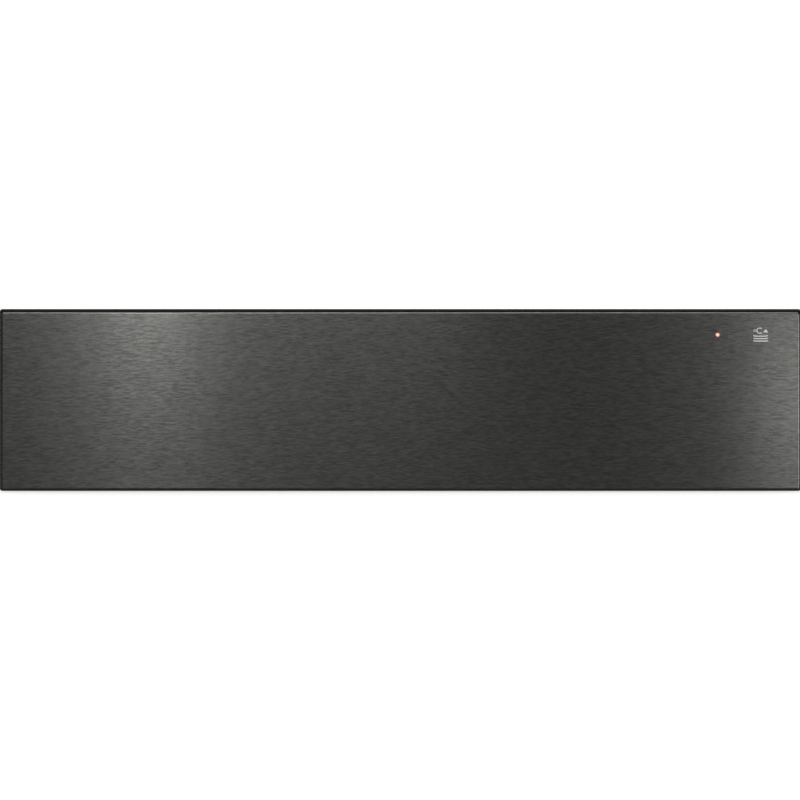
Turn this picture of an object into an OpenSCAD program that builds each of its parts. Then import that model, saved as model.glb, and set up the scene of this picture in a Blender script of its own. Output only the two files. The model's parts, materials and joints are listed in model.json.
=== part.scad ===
// Handleless 60 cm warming drawer for a 140 mm high kitchen niche.
// The front faces -Y, +X is to the right seen from the front, +Z is up.
// The origin is the centre of the footprint, on the surface that the feet stand on.
// All sizes are in millimetres. Everything is drawn with the drawer shut.

/* [Front panel] */
// Width of the whole front
front_w = 597; // [595:1:605]
// Height of the whole front
front_h = 135.5; // [134:0.5:140]
// Height of the front's lower edge above the floor
front_lift = 1; // [0.5:0.5:2]
// Gauge of the brushed steel face
fascia_t = 1; // [0.8:0.1:1.5]
// Outside radius of the face's folded edges
fascia_r = 1.6; // [1.6:0.1:2.4]
// Depth of the face's folded returns
fascia_return = 11; // [6:1:13]
// How far the steel stands in front of the carrier's edge
fascia_proud = 2; // [0.5:0.5:4]
// Carrier showing beside the steel, left and right
reveal_side = 1.35; // [1.2:0.05:3]
// Carrier showing above the steel
reveal_top = 2; // [1.2:0.1:4]
// Carrier showing below the steel
reveal_bottom = 1.1; // [1:0.1:3]
// Depth of the moulded carrier
carrier_d = 18; // [16:1:26]
// Wall of the moulded carrier
carrier_wall = 2.5; // [2:0.5:4]
// Radius of the carrier's upper corners
carrier_r = 2.2; // [1:0.1:4]
// Gauge of the inner steel panel
liner_t = 0.8; // [0.6:0.1:1.5]
// Gap between the shut front and the housing, for the push to open
front_gap = 4; // [3.6:0.1:8]

/* [Indicator light] */
// Diameter of the light guide in the front
guide_d = 3.4; // [2:0.2:5]
// Light guide's distance from the steel's right edge
guide_from_right = 61; // [56:1:62]
// Light guide's distance below the steel's upper edge
guide_from_top = 17.2; // [14:0.2:20]
// Diameter of the lamp behind the light guide
lamp_d = 3; // [2:0.5:4]

/* [Housing] */
// Width of the housing that goes into the niche
body_w = 556; // [552:1:560]
// Height of the housing without its feet
body_h = 132; // [130:1:134]
// Depth of the housing
body_d = 520; // [516:1:530]
// Gauge of the housing's sheet steel
sheet_t = 0.8; // [0.6:0.1:1.2]
// Width of the sheets' folded flanges
flange_w = 12; // [10:1:14]
// Gauge of the front frame
frame_t = 1; // [0.8:0.1:2]
// Width of the frame, ear to ear
frame_w = 590; // [586:1:592]
// Height of the frame's lower bar; the upper one is 2 mm less
frame_bar = 9; // [8:0.5:10]
// Distance between the fixing holes in X
fixing_x = 574; // [572:1:576]
// Distance between the fixing holes in Z
fixing_z = 84; // [60:1:90]
// Diameter of the fixing holes
fixing_d = 4.5; // [3.5:0.1:5.5]
// Height of the feet
foot_h = 2; // [1.5:0.5:3]
// Diameter of the feet
foot_d = 22; // [16:1:30]

/* [Drawer tub] */
// Width inside the tub
tub_w = 432; // [428:1:434]
// Length inside the tub
tub_l = 428; // [400:1:430]
// Height inside the tub, floor to rim
tub_h = 90; // [80:1:91]
// Gauge of the tub's stainless sheet
tub_t = 0.9; // [0.7:0.1:1.2]
// Height of the tub above the housing's base
tub_lift = 11.7; // [11.5:0.1:13]
// Bend radius between the tub's floor and its walls
tub_r = 3; // [2:0.5:5]
// Width of the rim folded over the rails
rim_w = 8; // [5:1:10]
// Thickness of the anti-slip mat
mat_t = 3; // [2:0.5:5]
// Gap between the mat and the tub's walls
mat_gap = 5; // [5:1:15]

/* [Telescopic rails] */
// Length of each rail
rail_l = 430; // [400:1:434]
// Height of each rail
rail_h = 45; // [43:1:48]
// Thickness of a rail set, bracket to tub
rail_t = 12.7; // [12.5:0.1:13.5]
// Gauge of the rail members
rail_gauge = 1.2; // [1:0.1:1.3]
// Height of the rails' centre line
rail_z = 60; // [50:1:66]
// Diameter of the steel balls
ball_d = 3.2; // [3:0.1:3.4]
// Play between a ball and its raceways
ball_play = 0.05; // [0.02:0.01:0.1]
// Balls in each row
ball_count = 8; // [4:1:10]
// Length of the ball cages
cage_l = 190; // [150:5:205]
// Gauge of the ball cages
cage_t = 0.7; // [0.5:0.1:0.8]
// Gauge of the brackets that carry the rails
bracket_t = 1; // [0.8:0.1:1.5]

/* [Controls] */
// Depth of the recess that the controls sit in
recess_d = 21; // [20:0.5:26]
// Wall of the control housing
bezel_wall = 2; // [1.5:0.1:2.5]
// Diameter of the temperature knob's skirt
knob_d = 28; // [24:1:30]
// Height of the knob
knob_h = 15; // [12:1:16]
// Knob centre's height above the floor
knob_z = 43; // [40:1:46]
// Diameter of the thermostat's shaft
shaft_d = 6; // [5:0.5:6.5]
// Width of the thermostat's square body
thermostat_w = 34; // [30:1:36]
// Depth of the thermostat's body
thermostat_d = 24; // [20:1:30]
// Height of the rocker switch's paddle
rocker_h = 16; // [14:1:18]
// Width of the rocker switch's paddle
rocker_w = 10; // [8:1:12]
// Rocker switch centre's height above the floor
rocker_z = 84; // [80:1:88]
// Angle that the rocker leans at either end of its throw
rocker_tilt = 8; // [6:1:9]
// Rim that the switch's frame shows round its hole
switch_rim = 1.5; // [1:0.1:2]

/* [Warm air unit] */
// Diameter of the fan wheel
fan_d = 80; // [70:1:84]
// Width of the fan wheel
fan_w = 15; // [10:1:16]
// Blades on the fan wheel
blade_count = 16; // [8:1:24]
// Diameter of the heating ring, along the tube's middle
ring_d = 100; // [96:1:104]
// Diameter of the heating tube
ring_tube_d = 6.5; // [6:0.1:8]
// Width of the air chamber
chamber_w = 300; // [290:1:320]
// Depth of the air chamber
chamber_d = 26; // [24:1:28]
// Gap between the air chamber and the base or cover
chamber_gap = 8.2; // [6:0.1:12]
// Diameter of the fan's shaft
spindle_d = 4; // [3:0.5:5]
// Thickness of the motor's lamination stack
stack_t = 14; // [10:1:16]
// Gap between the air chamber and the motor's stack
motor_gap = 16; // [14:1:20]
// Width of the motor's stack
stack_w = 48; // [46:1:52]
// Diameter of the motor's rotor
rotor_d = 25; // [20:1:27]
// Room beside the stack for the coil
coil_room = 25; // [22:1:30]
// Width of the leg that the coil is wound on
leg_w = 9; // [7:1:12]
// Thickness of the winding round the leg
coil_t = 5; // [3:0.5:7]
// Length of the winding
coil_l = 24; // [18:1:28]
// Diameter of the round air holes
air_hole_d = 5; // [4:0.5:5]
// Length of the air slots
air_slot_l = 22; // [16:1:24]

/* [Push latches] */
// Distance between the two push latches
latch_x = 380; // [366:1:384]
// Width of the latches' square bodies
latch_w = 18; // [16:0.5:20]
// Diameter of the plungers
plunger_d = 8; // [6:0.5:9]
// Thickness of the plungers' magnets
magnet_t = 3; // [2:0.5:5]
// Length of a plunger that is still guided when it is out
plunger_guide_l = 32; // [28:1:38]
// Length of a latch's spring when the drawer is shut
spring_l = 9; // [8:0.5:12]
// Travel by which a released plunger pushes the drawer out
eject_travel = 18; // [10:1:20]
// Travel by which the shut drawer is pushed in to release it
push_travel = 3; // [2:0.5:3]
// Thickness of the strike plates
strike_t = 2; // [1.5:0.5:3]

/* [Mains inlet] */
// Bore of the cable gland
gland_bore_d = 7.5; // [6:0.1:8.5]
// Wall of the cable gland
gland_wall = 3; // [2:0.5:4]
// Width of the pocket that the gland sits in
pocket_w = 56; // [50:1:60]
// Height of the pocket that the gland sits in
pocket_h = 42; // [36:1:46]
// Depth of the pocket that the gland sits in
pocket_d = 26; // [24:1:30]

/* [Hidden] */
$fn = 48;

// Clearances that several pieces share
slip = 0.3;       // between pieces that only sit beside each other
run_play = 0.05;  // radial, between a shaft or pin and its bore
hole_play = 0.1;  // radial, between a screw and the hole that it passes
eps = 0.01;       // how far a cut passes the face that it opens

// Screws
screw_d = 3.9;
screw_r = screw_d / 2;
screw_hole = screw_r + hole_play;
head_d = 7.5;
head_h = 2.2;
screw_l = 8;
small_screw_d = 3.4;
small_head_d = 6;

// Depth, front to back
depth = fascia_proud + carrier_d + liner_t + front_gap + body_d + head_h;
y_face = -depth / 2;
y_carrier = y_face + fascia_proud;
y_liner = y_carrier + carrier_d;
y_tub = y_liner + liner_t;
y_frame = y_tub + front_gap;
y_back = depth / 2 - head_h;                  // the screws' heads stand behind it
y_rear = y_back - 2 * sheet_t;                // front of the rear panel's sheet

// Height
z_base = foot_h;
z_pan = z_base + sheet_t;
z_roof = z_base + body_h;
z_cover = z_roof - sheet_t;
z_front = [front_lift, front_lift + front_h];
z_open = [z_pan + frame_bar, z_cover - frame_bar + 2];
z_tub = z_pan + tub_lift;
z_rim = z_tub + tub_t + tub_h;
z_mid = (z_base + z_roof) / 2;

// Width, from the middle outwards
x_tub = tub_w / 2 + tub_t;
x_rail = x_tub + rail_t;
x_column = x_rail + bracket_t;
x_side = body_w / 2 - 2 * sheet_t;
x_control = (x_column + x_side) / 2;
x_chamber = chamber_w / 2;
x_latch = latch_x / 2;
x_fascia = front_w / 2 - reveal_side;

// Steel face
z_fascia = [z_front[0] + reveal_bottom, z_front[1] - reveal_top];
y_fascia = [y_face, y_face + fascia_t + fascia_return];
x_guide = x_fascia - guide_from_right;
z_guide = z_fascia[1] - guide_from_top;

// Tub
y_tub_back = y_tub + tub_l + 2 * tub_t;
back_rim = 6;
y_rail = [y_frame + frame_t + 1, y_frame + frame_t + 1 + rail_l];
rear_clear = 12;
y_bulkhead = max(y_tub_back + rear_clear, y_rail[1] + push_travel + 2);

// Rail sections: u runs from the bracket towards the tub, v up from the rail's centre line
ball_gap = ball_d + 2 * ball_play;
v_outer = rail_h / 2 - rail_gauge;            // inside of the outer member's flange
v_mid = v_outer - ball_gap;                   // outside of the middle member's flange
v_mid_in = v_mid - rail_gauge;                // inside of the middle member's flange
v_inner = v_mid_in - ball_gap;                // outside of the inner member's flange
u_outer_cage = rail_gauge + 0.2;
u_mid = u_outer_cage + cage_t + slip;
u_inner_cage = u_mid + rail_gauge + slip;
u_inner = u_inner_cage + cage_t + slip;
u_outer_ball = u_mid + 3.5;
u_inner_ball = u_inner + 2.5;
cage_arm = 2.2;                               // how far a cage's arm reaches past its balls

// Air unit
y_chamber = [y_bulkhead + sheet_t, y_bulkhead + sheet_t + chamber_d];
z_chamber = [z_pan + chamber_gap, z_cover - chamber_gap];
z_air = z_mid;
ring_r = ring_d / 2;
ring_gap = 20;                                // half the angle left open at the ring's foot
y_ring = y_chamber[0] + chamber_d / 2;
wheel_r = fan_d / 2;
y_wheel = y_chamber[0] + 4;
y_stack = y_chamber[1] + motor_gap;
stack_half = stack_w / 2;
rotor_r = rotor_d / 2;
rotor_bore = rotor_r + 0.5;
intake_r = wheel_r - 6;
motor_post = stack_half - 5;                  // motor screws, from the fan's axis, in X and Z
spindle_tail = 12;                            // spindle standing behind the stack

// Controls
y_floor = y_frame + recess_d;                 // front of the recess's floor
x_bezel = [x_column + slip, x_side - slip];
z_bezel = [z_open[0] + slip, z_open[1] - slip];
lamp_block_h = 11;
z_lamp_block = z_guide - lamp_block_h;
rocker_hole = [rocker_w / 2 + 1.5, rocker_h / 2 + 1.5];
rocker_axis_y = y_floor + 1;

// Latches
plunger_r = plunger_d / 2;
magnet_r = plunger_r + 0.5;
y_tip = y_tub_back + strike_t + 0.1;
y_plunger_end = y_bulkhead + sheet_t + plunger_guide_l + eject_travel;
y_latch_bore_end = y_plunger_end + spring_l;
y_latch = [y_bulkhead + sheet_t, y_latch_bore_end + 3];
latch_bore = plunger_r + 0.15;
z_latch = rail_z;
latch_screw_v = latch_w / 2 + small_head_d / 2 + 1;   // latch screws, from the plunger's axis
latch_ear_t = 3;

// Mains inlet
x_pocket = [x_side - flange_w - 2 - pocket_w, x_side - flange_w - 2];
z_pocket = [z_pan + 11, z_pan + 11 + pocket_h];
x_gland = (x_pocket[0] + x_pocket[1]) / 2;
z_gland = (z_pocket[0] + z_pocket[1]) / 2;
y_pocket = y_back - sheet_t - pocket_d;       // back of the pocket's floor
gland_r = gland_bore_d / 2 + gland_wall;

// ---- shared shapes -------------------------------------------------------------------

// A box from its ranges in X, Y and Z
module block(x, y, z)
  translate([x[0], y[0], z[0]]) cube([x[1] - x[0], y[1] - y[0], z[1] - z[0]]);

// Round bars along each axis
module rod_x(x, y, z, r)
  translate([x[0], y, z]) rotate([0, 90, 0]) cylinder(h = x[1] - x[0], r = r);

module rod_y(x, y, z, r)
  translate([x, y[1], z]) rotate([90, 0, 0]) cylinder(h = y[1] - y[0], r = r);

module rod_z(x, y, z, r)
  translate([x, y, z[0]]) cylinder(h = z[1] - z[0], r = r);

// Extrusions of a profile: along X it is drawn in (y, z), along Y in (x, z), along Z in (x, y)
module along_x(x)
  translate([x[0], 0, 0]) rotate([90, 0, 90]) linear_extrude(x[1] - x[0]) children();

module along_y(y)
  translate([0, y[1], 0]) rotate([90, 0, 0]) linear_extrude(y[1] - y[0]) children();

module along_z(z)
  translate([0, 0, z[0]]) linear_extrude(z[1] - z[0]) children();

// A rectangle with round corners, from its two ranges
module round_rect(x, y, r) {
  translate([x[0], y[0] + r]) square([x[1] - x[0], y[1] - y[0] - 2 * r]);
  translate([x[0] + r, y[0]]) square([x[1] - x[0] - 2 * r, y[1] - y[0]]);
  for (cx = [x[0] + r, x[1] - r], cy = [y[0] + r, y[1] - r])
    translate([cx, cy]) circle(r);
}

// A slot with round ends, centred, its length along X
module slot_2d(l, w) {
  square([l - w, w], center = true);
  for (s = [-1, 1]) translate([s * (l - w) / 2, 0]) circle(w / 2);
}

// A quarter of a bent sheet: inside radius r, gauge t, in the first quadrant
module bend_2d(r, t)
  difference() {
    intersection() {
      circle(r + t);
      square(r + t);
    }
    circle(r);
  }

module mirrored() mirror([1, 0, 0]) children();

module both_sides() {
  children();
  mirrored() children();
}

// A pan-head screw with a cross recess, head upwards, its seat at the origin
module screw(l = screw_l, d = screw_d, head = head_d) {
  recess_w = head / 7;
  difference() {
    cylinder(h = head_h, r = head / 2);
    for (a = [0, 90])
      rotate([0, 0, a])
        translate([-head * 0.28, -recess_w / 2, head_h * 0.4])
          cube([head * 0.56, recess_w, head_h]);
  }
  translate([0, 0, -l]) cylinder(h = l + eps, r = d / 2);
}

// Turns a screw's head to face a way
module facing(way)
  rotate(way == "front" ? [90, 0, 0] : way == "back" ? [-90, 0, 0]
    : way == "right" ? [0, 90, 0] : way == "left" ? [0, -90, 0] : [0, 0, 0]) children();

// ---- swept wires ---------------------------------------------------------------------

function unit(v) = v / norm(v);

// A point on the smooth curve through p1 and p2, at t from 0 to 1
function between(p0, p1, p2, p3, t) =
  (2 * p1 + (p2 - p0) * t + (2 * p0 - 5 * p1 + 4 * p2 - p3) * t * t
    + (3 * p1 - p0 - 3 * p2 + p3) * t * t * t) / 2;

function smooth(p, n) = [
  for (i = [0 : len(p) - 2], k = [0 : n - 1])
    between(p[max(i - 1, 0)], p[i], p[i + 1], p[min(i + 2, len(p) - 1)], k / n),
  p[len(p) - 1]
];

function tangents(p) = [
  for (i = [0 : len(p) - 1]) unit(p[min(i + 1, len(p) - 1)] - p[max(i - 1, 0)])
];

function square_to(v, t) = unit(v - (v * t) * t);

// Carries a sideways vector along the curve without twisting it
function carried(t, first) = [
  for (i = 0, v = square_to(first, t[0]); i < len(t);
    i = i + 1, v = i < len(t) ? square_to(v, t[i]) : v) v
];

// A tube of diameter d along points p; first is any vector across the first run
module wire(p, d, sides = 8, first = [0.3, 0.5, 1]) {
  t = tangents(p);
  v = carried(t, first);
  rings = [
    for (i = [0 : len(p) - 1], k = [0 : sides - 1])
      p[i] + d / 2 * (cos(360 * k / sides) * v[i] + sin(360 * k / sides) * cross(t[i], v[i]))
  ];
  last = (len(p) - 1) * sides;
  polyhedron(rings, concat(
    [[for (k = [0 : sides - 1]) k]],
    [[for (k = [sides - 1 : -1 : 0]) last + k]],
    [for (i = [0 : len(p) - 2], k = [0 : sides - 1])
      [i * sides + k, (i + 1) * sides + k,
        (i + 1) * sides + (k + 1) % sides, i * sides + (k + 1) % sides]]
  ));
}

// ---- drawer front --------------------------------------------------------------------

// The envelope of the steel face: three crossed prisms, so that all its outer edges are round
module fascia_envelope(inset, r) {
  x = [-x_fascia + inset, x_fascia - inset];
  y = [y_fascia[0] + inset, y_fascia[1] + 2 * r];
  z = [z_fascia[0] + inset, z_fascia[1] - inset];
  intersection() {
    along_x(x) round_rect(y, z, r);
    along_z(z) round_rect(x, y, r);
    along_y(y) round_rect(x, z, r);
  }
}

module fascia() color("#3c3c3b")
  difference() {
    fascia_envelope(0, fascia_r);
    fascia_envelope(fascia_t, fascia_r - fascia_t);
    block([-front_w, front_w], [y_fascia[1], y_fascia[1] + 10], [-10, 200]);
    rod_y(x_guide, [y_face - eps, y_face + fascia_t + eps], z_guide, guide_d / 2);
  }

// Places where screws go through the tub's front wall into the carrier
front_screw_x = x_tub - 30;
front_screw_z = [z_tub + 16, z_rim - 14];
boss_r = 5;

module front_screw_places()
  for (x = [-front_screw_x, 0, front_screw_x], z = front_screw_z)
    translate([x, 0, z]) children();

// The three hollow bays that hold the front's insulation
bay_x = [[-x_fascia + 6, -x_fascia / 3 - 2], [-x_fascia / 3 + 2, x_fascia / 3 - 2],
  [x_fascia / 3 + 2, x_fascia - 6]];
bay_z = [z_fascia[0] + 6, z_fascia[1] - 6];
y_bay = y_face + fascia_t + carrier_wall;

module front_carrier() color("#191919") {
  groove = fascia_t + slip;
  inset = fascia_r + slip;
  difference() {
    union() {
      along_y([y_carrier, y_liner])
        round_rect([-front_w / 2, front_w / 2], z_front, carrier_r);
      block([-x_fascia + inset, x_fascia - inset], [y_face + fascia_t, y_carrier + eps],
        [z_fascia[0] + inset, z_fascia[1] - inset]);
    }
    // the groove for the steel face's returns
    difference() {
      block([-x_fascia - slip / 2, x_fascia + slip / 2], [y_carrier - eps, y_fascia[1] + slip],
        [z_fascia[0] - slip / 2, z_fascia[1] + slip / 2]);
      block([-x_fascia + groove, x_fascia - groove], [y_carrier - 1, y_liner],
        [z_fascia[0] + groove, z_fascia[1] - groove]);
    }
    difference() {
      for (bay = bay_x) block(bay, [y_bay, y_liner + eps], bay_z);
      front_screw_places() rod_y(0, [y_bay - 1, y_liner + 1], 0, boss_r);
      rod_y(x_guide, [y_bay - 1, y_liner + 1], z_guide, boss_r);
    }
    front_screw_places() rod_y(0, [y_bay + 2, y_liner + 1], 0, screw_r + run_play);
    rod_y(x_guide, [y_face, y_liner + 1], z_guide, guide_d / 2 + run_play);
  }
}

module front_insulation() color("#d8cf9e")
  difference() {
    for (bay = bay_x)
      block([bay[0] + slip, bay[1] - slip], [y_bay + slip, y_liner - slip],
        [bay_z[0] + slip, bay_z[1] - slip]);
    front_screw_places() rod_y(0, [y_bay, y_liner], 0, boss_r + slip);
    rod_y(x_guide, [y_bay, y_liner], z_guide, boss_r + slip);
  }

liner_x = front_w / 2 - 5;
liner_z = [z_front[0] + 3, z_front[1] - 3];

module front_liner() color("#b9bab8")
  difference() {
    along_y([y_liner, y_tub]) round_rect([-liner_x, liner_x], liner_z, 3);
    front_screw_places() rod_y(0, [y_liner - 1, y_tub + 1], 0, screw_hole + hole_play);
    rod_y(x_guide, [y_liner - 1, y_tub + 1], z_guide, guide_d / 2 + run_play);
  }

// The gasket runs round the frame's opening, inside the fixing holes
seal_w = 3.5;
seal_h = front_gap - slip;
seal_x = [x_side + 2.4, x_side + 2.4 + seal_w];
seal_z = [z_open[0] - 2.2, z_open[1] + 2.2];

module front_seal() color("#2b2b2b")
  along_y([y_tub, y_tub + seal_h])
    difference() {
      round_rect([-seal_x[1], seal_x[1]], [seal_z[0] - seal_w, seal_z[1] + seal_w], 4 + seal_w);
      round_rect([-seal_x[0], seal_x[0]], seal_z, 4);
    }

module light_guide() color("#f4dccb")
  rod_y(x_guide, [y_face, y_tub], z_guide, guide_d / 2 - run_play);

module front_screws() color("#9a9a98")
  front_screw_places()
    translate([0, y_tub + tub_t, 0]) facing("back") screw(l = 11);

// ---- tub -----------------------------------------------------------------------------

module tub_pan() color("#c2c3c1")
  difference() {
    union() {
      // the floor runs up into the front wall and a low rear flange round two bends
      along_x([-tub_w / 2, tub_w / 2]) {
        translate([y_tub + tub_t + tub_r, z_tub + tub_t + tub_r])
          rotate(180) bend_2d(tub_r, tub_t);
        translate([y_tub_back - 2 * tub_t - tub_r, z_tub + tub_t + tub_r])
          rotate(270) bend_2d(tub_r, tub_t);
        translate([y_tub + tub_t + tub_r, z_tub])
          square([tub_l - tub_t - 2 * tub_r, tub_t]);
        translate([y_tub_back - 2 * tub_t, z_tub + tub_t + tub_r]) square([tub_t, flange_w]);
        translate([y_tub, z_tub + tub_t + tub_r])
          square([tub_t, tub_h - tub_r]);
      }
    }
    front_screw_places() rod_y(0, [y_tub - 1, y_tub + tub_t + 1], 0, screw_hole + hole_play);
  }

tub_screw_y = [y_rail[0] + 40, y_rail[0] + rail_l * 0.36, y_rail[0] + rail_l * 0.64,
  y_rail[1] - 50];

module tub_side() color("#c2c3c1")
  difference() {
    along_y([y_tub, y_tub_back]) {
      translate([tub_w / 2, z_tub - tub_t]) square([tub_t, z_rim - z_tub + tub_t]);
      translate([tub_w / 2 - flange_w, z_tub - tub_t]) square([flange_w, tub_t]);
      translate([tub_w / 2, z_rim - tub_t]) square([tub_t + rim_w, tub_t]);
      translate([tub_w / 2 + rim_w, z_rim - 6]) square([tub_t, 6]);
    }
    for (y = tub_screw_y) rod_x([tub_w / 2 - 1, x_tub + 1], y, rail_z, screw_hole + hole_play);
  }

module tub_side_right() tub_side();
module tub_side_left() mirrored() tub_side();

// Air openings that the tub's back wall and the bulkhead share, as cutters from y[0] to y[1]
hole_pitch = air_hole_d * 1.75;
slot_pitch = 9;

module air_openings(y) {
  n = floor(intake_r / hole_pitch);
  for (i = [-n : n], k = [-n : n]) {
    x = (i + (abs(k) % 2) / 2) * hole_pitch;
    z = k * hole_pitch * 0.866;
    if (norm([x, z]) < intake_r) rod_y(x, y, z_air + z, air_hole_d / 2);
  }
  for (s = [-1, 1], i = [0 : 1], k = [-2 : 2])
    translate([s * (x_chamber - air_slot_l / 2 - 23 - i * (air_slot_l + 8)), 0,
      z_air + k * slot_pitch])
      along_y(y) slot_2d(air_slot_l, 4);
}

module tub_back_wall() color("#c2c3c1")
  difference() {
    union() {
      block([-tub_w / 2, tub_w / 2], [y_tub_back - tub_t, y_tub_back], [z_tub + tub_t, z_rim]);
      block([-tub_w / 2, tub_w / 2], [y_tub_back - tub_t, y_tub_back + back_rim],
        [z_rim - tub_t, z_rim]);
    }
    air_openings([y_tub_back - tub_t - 1, y_tub_back + 1]);
  }

mat_x = tub_w / 2 - mat_gap;
mat_y = [y_tub + tub_t + mat_gap, y_tub_back - 2 * tub_t - mat_gap];
mat_z = [z_tub + tub_t, z_tub + tub_t + mat_t];

// The mat: a sheet with low ribs moulded across it and a raised edge
module antislip_mat() color("#2e2f31") {
  rib_w = 2;
  ribs = 26;
  edge = 7;
  difference() {
    along_z(mat_z) round_rect([-mat_x, mat_x], mat_y, 8);
    for (i = [0 : ribs])
      translate([0, mat_y[0] + edge + i * (mat_y[1] - mat_y[0] - 2 * edge - 8) / ribs, 0])
        block([-mat_x + edge, mat_x - edge], [0, 8 - rib_w], [mat_z[1] - 0.8, mat_z[1] + 1]);
  }
}

strike_half = 12;

module strike_plates() color("#8f9192")
  both_sides()
    block([x_latch - strike_half, x_latch + strike_half], [y_tub_back, y_tub_back + strike_t],
      [z_latch - strike_half, z_latch + strike_half]);

// ---- telescopic rails ----------------------------------------------------------------

// Draws a section in (u, v), u from the bracket towards the tub, and runs it along the right rail
module rail_run(y)
  along_y(y) translate([x_rail, rail_z]) mirrored() children();

module channel_2d(u, v, web, flange)
  difference() {
    translate([u[0], -v]) square([u[1] - u[0], 2 * v]);
    translate([web[0], -v + flange]) square([web[1] - web[0], 2 * (v - flange)]);
  }

rivet_y = [y_rail[0] + 34, (y_rail[0] + y_rail[1]) / 2, y_rail[1] - 34];

module outer_rail() color("#a9abab")
  difference() {
    rail_run(y_rail)
      channel_2d([0, u_outer_ball + cage_arm + 0.6], rail_h / 2, [rail_gauge, rail_t],
        rail_gauge);
    for (y = rivet_y) rod_x([x_rail - 2, x_rail + 1], y, rail_z, 2 + run_play);
  }

module mid_rail() color("#9fa1a2")
  rail_run(y_rail)
    channel_2d([u_mid, u_inner_ball + cage_arm + 0.6], v_mid, [u_mid + rail_gauge, rail_t],
      rail_gauge);

module inner_rail() color("#b2b4b4")
  difference() {
    rail_run(y_rail)
      channel_2d([u_inner, rail_t], v_inner, [0, rail_t - rail_gauge], rail_gauge);
    for (y = tub_screw_y) rod_x([x_tub - 1, x_tub + 3], y, rail_z, screw_hole + hole_play);
  }

// A ball cage with its two rows of balls; it reaches from u to the balls at u_ball, v_ball
module ball_cage(u, u_ball, v_ball) {
  y_mid = (y_rail[0] + y_rail[1]) / 2;
  y = [y_mid - cage_l / 2, y_mid + cage_l / 2];
  pitch = (cage_l - 16) / (ball_count - 1);
  difference() {
    rail_run(y)
      channel_2d([u, u_ball + cage_arm], v_ball + cage_t / 2, [u + cage_t, rail_t], cage_t);
    for (i = [0 : ball_count - 1], s = [-1, 1])
      rod_z(x_rail - u_ball, y[0] + 8 + i * pitch, [rail_z + s * v_ball - 2, rail_z + s * v_ball + 2],
        ball_d / 2 + 0.1);
  }
  for (i = [0 : ball_count - 1], s = [-1, 1])
    translate([x_rail - u_ball, y[0] + 8 + i * pitch, rail_z + s * v_ball]) sphere(ball_d / 2);
}

module outer_cage() color("#c9b46a") ball_cage(u_outer_cage, u_outer_ball, v_mid + ball_gap / 2);
module inner_cage() color("#c9b46a") ball_cage(u_inner_cage, u_inner_ball, v_inner + ball_gap / 2);

module outer_rail_right() outer_rail();
module outer_rail_left() mirrored() outer_rail();
module mid_rail_right() mid_rail();
module mid_rail_left() mirrored() mid_rail();
module inner_rail_right() inner_rail();
module inner_rail_left() mirrored() inner_rail();
module outer_cage_right() outer_cage();
module outer_cage_left() mirrored() outer_cage();
module inner_cage_right() inner_cage();
module inner_cage_left() mirrored() inner_cage();

// Screws from inside the tub into the inner members
module tub_screws() color("#9a9a98")
  both_sides()
    for (y = tub_screw_y)
      translate([tub_w / 2, y, rail_z]) facing("left") screw(l = 4.5);

// Rivets through the outer members and their brackets, flush on the rail's side
module rail_rivets() color("#9a9a98")
  both_sides()
    for (y = rivet_y) {
      rod_x([x_rail - rail_gauge, x_column + eps], y, rail_z, 2);
      rod_x([x_column, x_column + 1.2], y, rail_z, 3.8);
    }

// ---- housing -------------------------------------------------------------------------

foot_x = body_w / 2 - 76;
foot_y = [y_frame + 34, y_back - 36];
stem_r = 3;

module foot_places()
  for (x = [-foot_x, foot_x], y = foot_y) translate([x, y, 0]) children();

// A long bead pressed into a flat sheet: cut is what the press removes above
module bead(x, y, l, along, top, part) {
  w = 12;
  deep = 1.2;
  translate([x, y, 0]) rotate(along == "y" ? 90 : 0)
    if (part == "skin")
      along_z([top - deep - sheet_t, top]) slot_2d(l + 2 * sheet_t, w + 2 * sheet_t);
    else
      along_z([top - deep, top + 1]) slot_2d(l, w);
}

module base_pan() color("#a7abad") {
  y = [y_frame + frame_t, y_rear];
  difference() {
    union() {
      block([-x_side, x_side], y, [z_base, z_pan]);
      both_sides()
        block([x_side - sheet_t, x_side], [y_floor + bezel_wall + slip, y[1] - 1],
          [z_base, z_base + flange_w]);
      block([-x_side + 14, x_side - 14], [y[1] - sheet_t, y[1]], [z_base, z_base + flange_w - 2]);
    }
    foot_places() rod_z(0, 0, [z_base - 1, z_pan + 1], stem_r + 0.1);
    // air inlets under the warm air unit and under the controls
    for (i = [-6 : 6])
      translate([i * 16, y_chamber[0] + 40, 0]) rotate(90)
        along_z([z_base - 1, z_pan + 1]) slot_2d(30, 4);
    for (i = [0 : 3])
      translate([x_control, y_floor + 40 + i * 12, 0])
        along_z([z_base - 1, z_pan + 1]) slot_2d(26, 4);
  }
}

module feet() color("#1c1c1c")
  foot_places() {
    rod_z(0, 0, [0, z_base], foot_d / 2);
    rod_z(0, 0, [z_base - eps, z_pan + 0.2], stem_r);
    rod_z(0, 0, [z_pan + 0.1, z_pan + 2.5], stem_r + 1);
  }

z_fixing = [z_mid - fixing_z / 2, z_mid + fixing_z / 2];
x_ear = frame_w / 2 - 3;

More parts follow.
